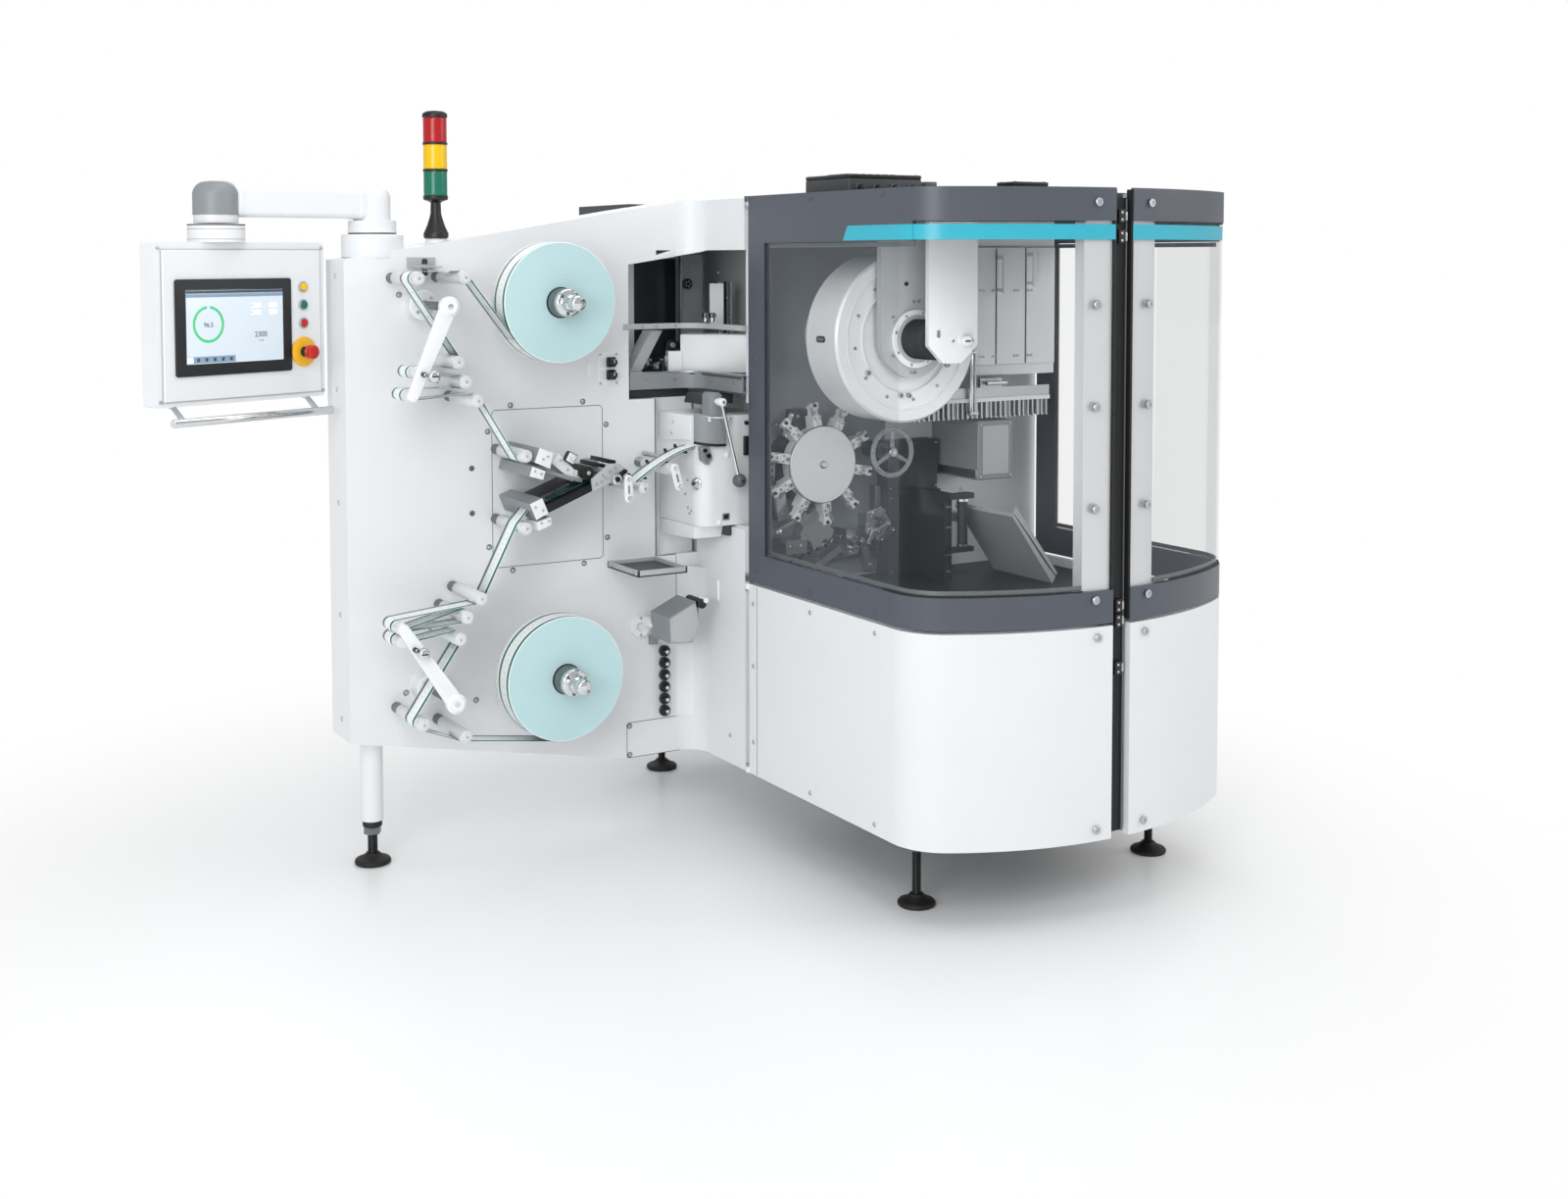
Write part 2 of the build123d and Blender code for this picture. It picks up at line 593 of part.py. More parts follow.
def feed_table():
    """The vibrating table: a bed with raised edges, and a comb of guide teeth under its front edge."""
    left, right = TABLE_X
    bed = block(left, right, TABLE_FRONT, CABINET_FRONT, 1272, 1284)
    bed += block(left, right, TABLE_FRONT, TABLE_FRONT + 6, 1284, 1304)
    bed += block(1740, 1820, TABLE_FRONT, TABLE_FRONT + 10, 1304, 1330)
    bed += rod_y(1752, 1318, -546, TABLE_FRONT + 4, 5) + rod_y(1808, 1318, -546, TABLE_FRONT + 4, 5)
    bed += rod_x(-548, 1318, 1743, 1817, 6)
    pitch = (right - left - 30) / (COMB_TEETH - 1)
    for tooth in range(COMB_TEETH):
        x = left + 15 + pitch * tooth
        bed += block(x - 4, x + 4, TABLE_FRONT + 2, TABLE_FRONT + 24, 1216, 1272)
    return bed


def lower_housing():
    """The housings under the feed table, with the bare posts of the outfeed roller."""
    slate = block(1530, 1712, -350, CABINET_FRONT, 985, 1140) + block(1530, 1718, -354, CABINET_FRONT, 740, 985)
    post = block(1614, 1640, -520, -350, 740, 1000) + block(1614, 1700, -548, -520, 984, 1000)
    post += block(1614, 1700, -548, -520, 828, 842)
    return slate + post + rod_z(1668, -534, 840, 986, 15)


def outfeed_chute():
    """A trough of bent sheet that drops from the wrapping head to the front right."""
    floor = front_plate([(1724, 945), (1736, 953), (1886, 748), (1872, 740)], -690, -430)
    far = front_plate([(1724, 945), (1742, 1000), (1898, 880), (1898, 740), (1872, 740)], -430, -424)
    near = front_plate([(1724, 945), (1736, 975), (1890, 770), (1872, 740)], -696, -690)
    leg = block(1775, 1805, -426, CABINET_FRONT, 885, 912)
    return floor + far + near + leg


def wrapping_body():
    """The fixed gearbox behind the head, its angular guard and the crank's bearing."""
    x, z = HEAD
    body = rod_y(x, z, HEAD_FRONT + 92, CABINET_FRONT, 120) + rod_y(x, z, HEAD_FRONT + 20, HEAD_FRONT + 92, 30)
    guard = [(1190, 1060), (1212, 1248), (1262, 1250), (1300, 1215), (1300, 1180), (1220, 1060)]
    body += front_plate(guard, -334, CABINET_FRONT)
    wheel_x, wheel_z = HANDWHEEL
    crank = rod_y(wheel_x, wheel_z, -374, CABINET_FRONT, 24) - rod_y(wheel_x, wheel_z, -375, -339, 9.4)
    pin = rod_y(GRIPPER_WHEEL[0], GRIPPER_WHEEL[1], -325, CABINET_FRONT, 14)
    return together(body, crank, pin)


def gripper(turn):
    """One gripper: a block on the disc's rim, a tapered arm and two jaws, turned round the head's axis."""
    base = block(100, 140, -394, -352, -14, 14)
    arm = front_plate([(138, -11), (168, -7), (168, 7), (138, 11)], -386, -360)
    jaws = block(160, GRIPPER_REACH, -388, -378, -13, -5) + block(160, GRIPPER_REACH, -388, -378, 5, 13)
    jaws += block(160, 170, -388, -362, -13, 13)
    return Pos(HEAD[0], 0, HEAD[1]) * Rot(0, -turn, 0) * (base + arm + jaws)


def wrapping_head():
    """The wrapping head: a cover disc, its drum and the ring of grippers that carry each sweet round."""
    x, z = HEAD
    disc = rod_y(x, z, HEAD_FRONT, HEAD_FRONT + 12, HEAD_RADIUS)
    disc = fillet(disc.edges().group_by(Axis.Y)[0], 3)
    head = disc + rod_y(x, z, HEAD_FRONT + 12, HEAD_FRONT + 56, 104)
    head -= rod_y(x, z, HEAD_FRONT + 18, HEAD_FRONT + 57, 30.4)
    for place in range(GRIPPERS):
        head += gripper(FIRST_GRIPPER + 360 / GRIPPERS * place)
    return head


def folding_stations():
    """The fixed tools round the head: folders on plates, a bracket and two slanting braces."""
    bracket = block(1165, 1234, -372, -366, 837, 878) + block(1165, 1234, -366, CABINET_FRONT, 868, 878)
    fold = front_plate([(1440, 938), (1492, 955), (1528, 905), (1492, 862), (1436, 878)], -372, -362)
    fold += block(1462, 1500, -362, CABINET_FRONT, 890, 926)
    fold += rod_y(1470, 935, -392, -372, 9) + rod_y(1502, 905, -392, -372, 9) + rod_y(1465, 886, -392, -372, 9)
    tall = front_plate([(1372, 895), (1404, 888), (1412, 820), (1378, 816)], -366, CABINET_FRONT)
    tall += rod_y(1390, 868, -384, -366, 10) + rod_y(1396, 838, -384, -366, 10)
    left = front_plate([(1150, 1000), (1182, 1012), (1198, 940), (1160, 930)], -336, CABINET_FRONT)
    brace = bar((1277, 776), (1415, 855), -330, CABINET_FRONT, 20)
    other = bar((1452, 850), (1490, 760), -330, CABINET_FRONT, 20)
    strip = block(1096, 1148, -336, -332, 1030, 1125) + block(1104, 1140, -332, CABINET_FRONT, 1060, 1095)
    for column in range(3):
        for row in range(5):
            strip -= block(1102 + 15 * column, 1112 + 15 * column, -340, -331, 1036 + 18 * row, 1048 + 18 * row)
    return together(bracket, fold, tall, left, brace, other, strip)


def gripper_wheel():
    """A transfer wheel with six pockets, behind the head."""
    x, z = GRIPPER_WHEEL
    wheel = rod_y(x, z, -337, -298, 60) - rod_y(x, z, -327, -297, 14.4)
    for pocket in range(6):
        place = on_circle((x, z), 60, 60 * pocket)
        wheel -= rod_y(place[0], place[1], -338, -297, 13)
    return wheel


def hand_wheel():
    x, z = HANDWHEEL
    rim = Pos(x, -420, z) * Rot(90, 0, 0) * Torus(68, 7)
    hub = rod_y(x, z, -428, -380, 14) + rod_y(x, z, -380, -343, 9)
    for turn in (90, 210, 330):
        end = on_circle((x, z), 66, turn)
        hub += bar((x, z), end, -424, -416, 9)
    return rim + hub


def control_box():
    box = block(1735, 1862, -520, CABINET_FRONT, 1030, 1205)
    return chamfer(box.edges().group_by(Axis.Y)[0], 3)


def roof_boxes():
    sensor = block(1160, 1400, -700, -480, 1850, 1910)
    junction = block(1560, 1680, -900, -820, 1850, 1890)
    return together(sensor, junction)


NODES = (
    film_wall,
    corner_wall,
    core_cabinet,
    side_panel,
    back_doors,
    chamber_housing,
    hinge_pins,
    guard_roof,
    front_post,
    machine_feet,
    left_leg,
    wall_bearings,
    splicer_frame,
    splicer_covers,
    film_guide,
    gear_housing,
    hand_lever,
    chamber_fittings,
    wall_controls,
    wall_fittings,
    stack_light,
    arm_base,
    panel_arm,
    arm_cap,
    panel_box,
    panel_screen,
    panel_buttons,
    panel_handle,
    feed_drum,
    drum_column,
    drum_bellows,
    feed_hood,
    feed_cabinet,
    feed_table,
    lower_housing,
    outfeed_chute,
    wrapping_body,
    wrapping_head,
    folding_stations,
    gripper_wheel,
    hand_wheel,
    control_box,
    roof_boxes,
)


def export_part():
    os.makedirs("parts", exist_ok=True)
    pieces = {make.__name__: make() for make in NODES}
    pieces["machine_bed"] = machine_bed() + bed_filler()
    pieces["left_guard_frame"] = guard_frame()
    pieces["left_guard_window"] = guard_window(pieces["left_guard_frame"])
    pieces["left_guard_stile"] = door_stile()
    pieces["left_skirt"] = skirt()
    for name in ("guard_frame", "guard_window", "guard_stile", "skirt"):
        pieces["right_" + name] = mirrored(pieces["left_" + name])
    pieces["guide_rollers"] = roller_set(UPPER_ROLLERS + LOWER_ROLLERS + SPLICER_ROLLERS)
    for side, place in (("upper", UPPER_REEL), ("lower", LOWER_REEL)):
        x, z, radius = place
        pieces[side + "_reel_film"] = reel_film(x, z, radius)
        pieces[side + "_reel_spindle"] = reel_spindle(x, z, radius)
    pieces["upper_dancer"] = dancer(UPPER_DANCER, UPPER_DANCER_ROLLERS)
    pieces["lower_dancer"] = dancer(LOWER_DANCER, LOWER_DANCER_ROLLERS)
    shift = Location((-CENTRE_X, -CENTRE_Y, 0))
    low = [1e9] * 3
    high = [-1e9] * 3
    for name, piece in pieces.items():
        moved = piece.moved(shift)
        export_step(moved, f"parts/{name}.step")
        box = moved.bounding_box()
        low = [min(a, b) for a, b in zip(low, tuple(box.min))]
        high = [max(a, b) for a, b in zip(high, tuple(box.max))]
    print("nodes", len(pieces), "low", low, "high", high)


export_part()
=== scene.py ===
from math import asin, atan2, cos, hypot, pi, radians, sin

import bpy
import numpy as np
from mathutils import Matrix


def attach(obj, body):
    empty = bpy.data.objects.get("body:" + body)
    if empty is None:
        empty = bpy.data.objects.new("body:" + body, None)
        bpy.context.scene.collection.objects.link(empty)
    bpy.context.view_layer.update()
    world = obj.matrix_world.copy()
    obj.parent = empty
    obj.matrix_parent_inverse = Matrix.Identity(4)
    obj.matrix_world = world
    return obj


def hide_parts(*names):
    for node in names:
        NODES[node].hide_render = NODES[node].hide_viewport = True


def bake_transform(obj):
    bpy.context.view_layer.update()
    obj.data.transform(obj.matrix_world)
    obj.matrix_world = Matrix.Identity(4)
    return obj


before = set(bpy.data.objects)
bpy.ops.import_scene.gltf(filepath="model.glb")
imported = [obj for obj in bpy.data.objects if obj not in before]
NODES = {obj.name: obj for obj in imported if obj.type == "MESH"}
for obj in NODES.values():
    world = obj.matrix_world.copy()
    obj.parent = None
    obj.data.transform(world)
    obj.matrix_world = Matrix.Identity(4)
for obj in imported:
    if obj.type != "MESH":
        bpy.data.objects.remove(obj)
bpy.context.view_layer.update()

# Places below are millimetres in the film wall's frame, as in the part's source: X along the wall,
# Y into the machine, Z up, zero at the wall's left front edge. located() turns them into the
# metres of the shared frame.
CENTRE = np.array((801.8, -332.3, 0.0))

X, Y, Z = np.eye(3)
FRONT = np.array((X, Z, Y))  # a shape's own first, second and depth directions, seen from the front
ABOVE = np.array((X, Y, Z))
SIDE = np.array((Y, Z, X))

SHARP = radians(40)  # edges between faces that turn by more than this are drawn sharp


# Shapes as arrays


def located(points):
    """Wall frame millimetres to the shared frame's metres."""
    return (np.asarray(points, float).reshape(-1, 3) - CENTRE) / 1000


def ring_faces(rows, columns, close_rows=False):
    """Quads of a grid whose columns close on themselves, and whose rows may too."""
    row, column = np.meshgrid(np.arange(rows if close_rows else rows - 1), np.arange(columns), indexing="ij")
    after_row = (row + 1) % rows
    after = (column + 1) % columns
    corners = (
        row * columns + column, row * columns + after, after_row * columns + after,
        after_row * columns + column,
    )
    return np.stack(corners, -1).reshape(-1, 4).tolist()


def turned(profile, steps=40, hollow=False, open_ends=False):
    """A surface of revolution: each (radius, height) of the profile carried round the depth axis.

    Point (i, j) is (r_i cos t_j, r_i sin t_j, h_i). A hollow one joins its last row to its first."""
    radius, height = np.asarray(profile, float).T
    turn = np.linspace(0, 2 * pi, steps, endpoint=False)
    points = np.stack(
        (
            radius[:, None] * np.cos(turn),
            radius[:, None] * np.sin(turn),
            height[:, None] + 0 * turn,
        ),
        -1,
    ).reshape(-1, 3)
    faces = ring_faces(len(radius), steps, close_rows=hollow)
    caps = []
    if not hollow and not open_ends:
        last = (len(radius) - 1) * steps
        caps = [list(range(steps))[::-1], list(range(last, last + steps))]
    return points, faces, caps


def inset_outline(outline, amount):
    """Every corner moved inwards along the mitre of its two sides; the outline runs anticlockwise."""
    before = outline - np.roll(outline, 1, 0)
    after = np.roll(outline, -1, 0) - outline
    before = before / np.linalg.norm(before, axis=1)[:, None]
    after = after / np.linalg.norm(after, axis=1)[:, None]
    normal_a = np.stack((-before[:, 1], before[:, 0]), -1)
    normal_b = np.stack((-after[:, 1], after[:, 0]), -1)
    mitre = normal_a + normal_b
    mitre = mitre / np.maximum(np.einsum("ij,ij->i", mitre, normal_b), 0.35)[:, None]
    return outline + amount * mitre


def slab(outline, low, high, edge=1.5):
    """An outline made thick along the depth axis, its rims rounded by a quarter circle.

    Row k of the rim is the outline drawn in by e(1 - sin t) at depth low + e(1 - cos t)."""
    outline = np.asarray(outline, float)
    area = np.sum(outline[:, 0] * np.roll(outline[:, 1], -1) - np.roll(outline[:, 0], -1) * outline[:, 1])
    if area < 0:
        outline = outline[::-1]
    edge = min(edge, (high - low) / 2.05)
    turns = np.radians((0, 30, 60, 90))
    rows = [(edge * (1 - sin(t)), low + edge * (1 - cos(t))) for t in turns]
    rows += [(inset, low + high - depth) for inset, depth in rows[::-1]]
    points = np.concatenate(
        [
            np.column_stack((inset_outline(outline, inset), np.full(len(outline), depth)))
            for inset, depth in rows
        ]
    )
    count = len(outline)
    last = (len(rows) - 1) * count
    caps = [list(range(count))[::-1], list(range(last, last + count))]
    return points, ring_faces(len(rows), count), caps


def swept(path, radius, sides=12):
    """A round tube: a circle carried along a path, turned at each point to stand across it."""
    path = np.asarray(path, float)
    ahead = np.gradient(path, axis=0)
    ahead /= np.linalg.norm(ahead, axis=1)[:, None]
    across = np.cross(ahead[0], (0.3, 0.5, 0.81))
    frames = []
    for tangent in ahead:
        across = across - tangent * (across @ tangent)
        across /= np.linalg.norm(across)
        frames.append((across, np.cross(tangent, across)))
    frames = np.array(frames)
    turn = np.linspace(0, 2 * pi, sides, endpoint=False)
    radii = np.broadcast_to(np.asarray(radius, float), len(path))
    ring = np.cos(turn)[None, :, None] * frames[:, None, 0] + np.sin(turn)[None, :, None] * frames[:, None, 1]
    points = (path[:, None] + radii[:, None, None] * ring).reshape(-1, 3)
    last = (len(path) - 1) * sides
    return points, ring_faces(len(path), sides), [list(range(sides))[::-1], list(range(last, last + sides))]


def unit(turn):
    """The directions at some angles in radians, as rows of cosine and sine."""
    return np.column_stack((np.cos(turn), np.sin(turn)))


def rounded(width, height, radius, steps=6, centre=(0, 0)):
    """The outline of a rectangle with quarter circles at its corners."""
    turn = np.linspace(0, pi / 2, steps)
    corners = []
    for k, (side, top) in enumerate(((1, 1), (-1, 1), (-1, -1), (1, -1))):
        middle = np.array((side * (width / 2 - radius), top * (height / 2 - radius)))
        corners.append(middle + radius * unit(turn + k * pi / 2))
    return np.concatenate(corners) + centre


def circle(radius, steps=32, centre=(0, 0)):
    """A regular outline round a centre; six steps make a hexagon."""
    turn = np.linspace(0, 2 * pi, steps, endpoint=False)
    return radius * unit(turn) + centre


def link_outline(start, end, start_radius, end_radius, steps=12):
    """A flat link's outline: two half circles of different size round its two holes."""
    start, end = np.asarray(start, float), np.asarray(end, float)
    angle = atan2(*(end - start)[::-1])
    near = np.linspace(angle + pi / 2, angle + 3 * pi / 2, steps)
    far = np.linspace(angle - pi / 2, angle + pi / 2, steps)
    return np.concatenate(
        (
            start + start_radius * unit(near),
            end + end_radius * unit(far),
        )
    )


def smooth_path(points, steps=12):
    """A cubic through the points, whose slope at each is the mean of the two spans beside it."""
    points = np.asarray(points, float)
    slopes = np.gradient(points, axis=0)
    t = np.linspace(0, 1, steps, endpoint=False)[:, None]
    spans = [
        (2 * t**3 - 3 * t**2 + 1) * points[i]
        + (t**3 - 2 * t**2 + t) * slopes[i]
        + (3 * t**2 - 2 * t**3) * points[i + 1]
        + (t**3 - t**2) * slopes[i + 1]
        for i in range(len(points) - 1)
    ]
    return np.concatenate(spans + [points[-1:]])


def axes_towards(direction, up=(0, 0, 1)):
    """A shape's three directions with its depth axis along a direction."""
    depth = np.asarray(direction, float) / np.linalg.norm(direction)
    up = np.asarray(up, float)
    if abs(depth @ up) > 0.98:
        up = np.array((0.0, 1.0, 0.0))
    first = np.cross(up, depth)
    first /= np.linalg.norm(first)
    return np.array((first, np.cross(depth, first), depth))


def outward(shape):
    """The same closed shape with its faces turned outwards, by the sign of the volume they enclose."""
    points, faces, caps = shape
    points = np.asarray(points, float)
    volume = 0.0
    for face in [*faces, *caps]:
        for a, b in zip(face[1:], face[2:]):
            volume += points[face[0]] @ np.cross(points[a], points[b])
    if volume > 0:
        return points, faces, caps
    return points, [list(face)[::-1] for face in faces], [list(face)[::-1] for face in caps]


def bent_plate(line, thickness, bottoms, tops, edge=1.2):
    """A plate that follows a line on the floor plan: section k stands from bottoms[k] to tops[k].

    Each section is a rectangle with cut corners, set across the line towards its left side."""
    line = np.asarray(line, float)
    ahead = np.gradient(line, axis=0)
    ahead /= np.linalg.norm(ahead, axis=1)[:, None]
    side = np.column_stack((-ahead[:, 1], ahead[:, 0]))
    bottoms = np.broadcast_to(np.asarray(bottoms, float), len(line))
    tops = np.broadcast_to(np.asarray(tops, float), len(line))
    rows = []
    for inward, lift, heights in (
        (0, edge, bottoms), (0, -edge, tops), (edge, 0, tops), (thickness - edge, 0, tops),
        (thickness, -edge, tops), (thickness, edge, bottoms), (thickness - edge, 0, bottoms),
        (edge, 0, bottoms),
    ):
        rows.append(np.column_stack((line + inward * side, heights + lift)))
    points, count = np.stack(rows, 1).reshape(-1, 3), len(rows)
    last = (len(line) - 1) * count
    caps = [list(range(count))[::-1], list(range(last, last + count))]
    return outward((points, ring_faces(len(line), count), caps))


def round_place(centre, radius, turn):
    """A place on a circle that faces the front, by its angle in degrees from X towards Z."""
    return centre + radius * np.array((cos(radians(turn)), 0, sin(radians(turn))))


OUT = axes_towards((0, -1, 0))
LEFT = axes_towards((-1, 0, 0))

# Screw heads as profiles of (radius, height)
CAP_SCREW = ((6.0, 0.0), (9.0, 1.2), (11.0, 4.0), (11.0, 7.5), (9.5, 9.0), (5.0, 9.0), (4.4, 6.5))
BUTTON_SCREW = ((6.5, 0.0), (6.0, 2.4), (4.5, 3.6), (2.4, 3.8), (2.0, 2.2))
SCREW_RING = ((6.5, 0.0), (8.2, 0.0), (8.2, 0.5), (6.5, 0.5))


class Piece:
    """Shapes gathered into one mesh, each with the number of its material in the piece's list as its kind.

    Outlines are places of X and Z, or of X and Y where they are level; profiles are pairs of a radius and
    a place along the axis. low and high, and y0 and y1, are the depths between which a shape lies."""

    def __init__(self, name, body, slot, materials):
        self.name, self.body, self.slot, self.materials = name, body, slot, materials
        self.points, self.faces, self.kinds, self.flat, self.count = [], [], [], [], 0

    def add(self, shape, at=(0, 0, 0), axes=FRONT, kind=0):
        """Places a shape by its own three directions; a mirroring set of directions turns its faces round."""
        points, faces, caps = shape
        points = np.asarray(points, float) @ axes + np.asarray(at, float)
        every = [*faces, *caps]
        if np.linalg.det(axes) < 0:
            every = [face[::-1] for face in every]
        self.points.append(points)
        self.faces += [[corner + self.count for corner in face] for face in every]
        self.kinds += [kind] * len(every)
        self.flat += [False] * len(faces) + [True] * len(caps)
        self.count += len(points)

    def box(self, x0, x1, y0, y1, z0, z1, edge=1.5, kind=0):
        """A block between two places in each direction, its front and back rims rounded."""
        middle = ((x0 + x1) / 2, 0, (z0 + z1) / 2)
        width, height = x1 - x0, z1 - z0
        outline = np.array(((0, 0), (width, 0), (width, height), (0, height))) - (width / 2, height / 2)
        self.add(slab(outline, y0, y1, edge), middle, FRONT, kind)

    def rod(self, x, z, y0, y1, radius, edge=1.0, kind=0, steps=32):
        """A short turned rod that stands out of the wall, with its rims rounded."""
        edge = min(edge, radius / 2, (y1 - y0) / 3)
        profile = ((radius - edge, y0), (radius, y0 + edge), (radius, y1 - edge), (radius - edge, y1))
        self.add(turned(profile, steps), (x, 0, z), FRONT, kind)

    def front(self, outline, low, high, edge=1.5, kind=0):
        """A plate whose outline faces the front."""
        self.add(slab(outline, low, high, edge), kind=kind)

    def level(self, outline, low, high, edge=1.5, kind=0):
        """A plate whose outline is seen from above."""
        self.add(slab(outline, low, high, edge), axes=ABOVE, kind=kind)

    def lathe(self, profile, x, z, kind=0, steps=32, **ends):
        """A turned shape whose axis runs into the machine."""
        self.add(turned(profile, steps, **ends), (x, 0, z), FRONT, kind)

    def column(self, profile, x, y, kind=0, steps=32, **ends):
        """A turned shape that stands upright."""
        self.add(turned(profile, steps, **ends), (x, y, 0), ABOVE, kind)

    def stud(self, profile, x, z, kind=0, steps=32, **ends):
        """A turned shape that stands out of the wall, its heights measured from the wall's face."""
        self.add(turned(profile, steps, **ends), (x, 0, z), OUT, kind)

    def tube(self, path, radius, kind=0, sides=12):
        """A round tube along a path of X, Y and Z."""
        self.add(swept(path, radius, sides), axes=ABOVE, kind=kind)

    def bend(self, line, thickness, bottoms, tops, edge=1.2, kind=0):
        """A plate bent along a line on the floor plan."""
        self.add(bent_plate(line, thickness, bottoms, tops, edge), axes=ABOVE, kind=kind)

    def screw(self, x, z, depth, radius, kind, height=6.0):
        """A cap screw seen end on, with its hexagon hole."""
        head = (
            (radius * 0.45, depth - height * 0.45), (radius * 0.5, depth - height),
            (radius * 0.92, depth - height), (radius, depth - height * 0.8), (radius, depth),
        )
        self.lathe(head, x, z, kind, 18)

    def make(self, *replaced):
        """The mesh as an object that rides on its body, in place of the solids that it replaces."""
        mesh = bpy.data.meshes.new(self.name)
        mesh.from_pydata(located(np.concatenate(self.points)), [], self.faces)
        mesh.polygons.foreach_set("material_index", self.kinds)
        mesh.polygons.foreach_set("use_smooth", [not flat for flat in self.flat])
        mesh.set_sharp_from_angle(angle=SHARP)
        for material in self.materials:
            mesh.materials.append(material)
        mesh.update()
        made = bpy.data.objects.new(self.name, mesh)
        bpy.context.scene.collection.objects.link(made)
        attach(made, self.body)
        if replaced:
            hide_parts(*replaced)
        return made


# Materials


def linear(code):
    """An sRGB hex colour as linear red, green, blue and 1."""
    parts = [int(code[i : i + 2], 16) / 255 for i in (1, 3, 5)]
    return tuple(c / 12.92 if c <= 0.04045 else ((c + 0.055) / 1.055) ** 2.4 for c in parts) + (1.0,)


def add_node(tree, kind, inputs=None, **fields):
    """Adds one node with its fields set and its inputs set or linked."""
    made = tree.nodes.new("ShaderNode" + kind)
    for field, value in fields.items():
        setattr(made, field, value)
    for socket, value in (inputs or {}).items():
        if isinstance(value, bpy.types.NodeSocket):
            tree.links.new(value, made.inputs[socket])
        else:
            made.inputs[socket].default_value = value
    return made


def surface(name, colour, roughness, metallic=0.0, tone=0.04, tone_mm=180, grain_mm=1.2, grain=0.05):
    """A finish with a slow change of tone over tone_mm, and a fine relief and roughness of grain_mm."""
    material = bpy.data.materials.new(name)
    material.use_nodes = True
    tree = material.node_tree
    shader = tree.nodes["Principled BSDF"]
    shader.inputs["Metallic"].default_value = metallic
    place = add_node(tree, "TexCoord").outputs["Object"]
    slow = add_node(tree, "TexNoise", {"Vector": place, "Scale": 1000 / tone_mm, "Detail": 4.0})
    base = linear(colour)
    dark = tuple(c * (1 - 2 * tone) for c in base[:3]) + (1.0,)
    light = tuple(min(1.0, c * (1 + tone)) for c in base[:3]) + (1.0,)
    mixed = add_node(tree, "Mix", {0: slow.outputs["Fac"], 6: dark, 7: light}, data_type="RGBA")
    tree.links.new(mixed.outputs[2], shader.inputs["Base Color"])
    fine = add_node(tree, "TexNoise", {"Vector": place, "Scale": 1000 / grain_mm, "Detail": 2.0})
    rough = add_node(
        tree,
        "MapRange",
        {"Value": fine.outputs["Fac"], "To Min": roughness * 0.85, "To Max": min(1.0, roughness * 1.15)},
    )
    tree.links.new(rough.outputs[0], shader.inputs["Roughness"])
    relief = add_node(
        tree, "Bump", {"Height": fine.outputs["Fac"], "Strength": grain, "Distance": grain_mm / 1000},
    )
    tree.links.new(relief.outputs[0], shader.inputs["Normal"])
    return material


# Powder-coated sheet steel: satin, with the faint orange peel of baked powder, 1 to 2 mm across
powder_white = surface("powder_coat_white", "#e9ebed", 0.38, grain_mm=1.6, grain=0.06, tone=0.015)
# A darker, rougher copy of the white paint for the core cabinet and the feed hood: painted shade for their
# place inside the guard
powder_white_shaded = surface("powder_coat_white_shaded", "#dde0e2", 0.42, grain_mm=1.6, grain=0.06, tone=0.015)
powder_white_gloss = surface("powder_coat_white_gloss", "#eef0f1", 0.25, grain_mm=2.0, grain=0.03, tone=0.01)
powder_slate = surface("powder_coat_slate", "#50555f", 0.36, grain_mm=1.4, grain=0.08, tone=0.03)
powder_pale_grey = surface("powder_coat_pale_grey", "#b4b7b9", 0.4, grain_mm=1.4, grain=0.06)
powder_mid_grey = surface("powder_coat_mid_grey", "#8b9094", 0.4, grain_mm=1.4, grain=0.06)
powder_dark = surface("powder_coat_dark", "#3a3d41", 0.45, grain_mm=1.2, grain=0.08)
# Black-oxide and black-painted steel: nearly matte, with a soft highlight
black_steel = surface("black_oxide_steel", "#1c1d1f", 0.38, metallic=0.4, grain_mm=0.8, grain=0.1)
# Satin stainless steel: a fine relief that spreads the highlight
satin_steel = surface("satin_stainless_steel", "#c4c6c8", 0.36, metallic=1.0, grain_mm=1.0, grain=0.06)
chrome = surface("hard_chrome_plate", "#dcdee0", 0.1, metallic=1.0, grain_mm=3.0, grain=0.01, tone=0.01)
# Natural anodised aluminium: pale, soft metal gloss
anodised = surface("anodised_aluminium", "#c9cbcd", 0.34, metallic=0.85, grain_mm=0.9, grain=0.05)
dark_anodised = surface("anodised_aluminium_grey", "#7c7f82", 0.36, metallic=0.8, grain_mm=0.9, grain=0.05)
# Moulded ABS and polyamide: fine spark-eroded texture
black_abs = surface("moulded_abs_black", "#17181a", 0.42, grain_mm=0.7, grain=0.12)
grey_abs = surface("moulded_abs_grey", "#5d6064", 0.45, grain_mm=0.7, grain=0.12)
white_abs = surface("moulded_abs_white", "#e4e5e6", 0.35, grain_mm=0.7, grain=0.06)
red_abs = surface("moulded_abs_red", "#c3241c", 0.3, grain_mm=0.7, grain=0.05)
yellow_abs = surface("moulded_abs_yellow", "#f2b71d", 0.35, grain_mm=0.7, grain=0.05)
black_rubber = surface("nitrile_rubber_black", "#141414", 0.6, grain_mm=0.9, grain=0.15)
# Wound film seen from its edge: thousands of layers
film_edge = surface("wound_film_edge", "#bcdcdf", 0.35, grain_mm=0.8, grain=0.04, tone=0.02)
# Vinyl stripe stuck to the guard: even colour, glossier than the paint
cyan_vinyl = surface("vinyl_stripe_cyan", "#35b2c8", 0.3, grain_mm=2.0, grain=0.02, tone=0.01)


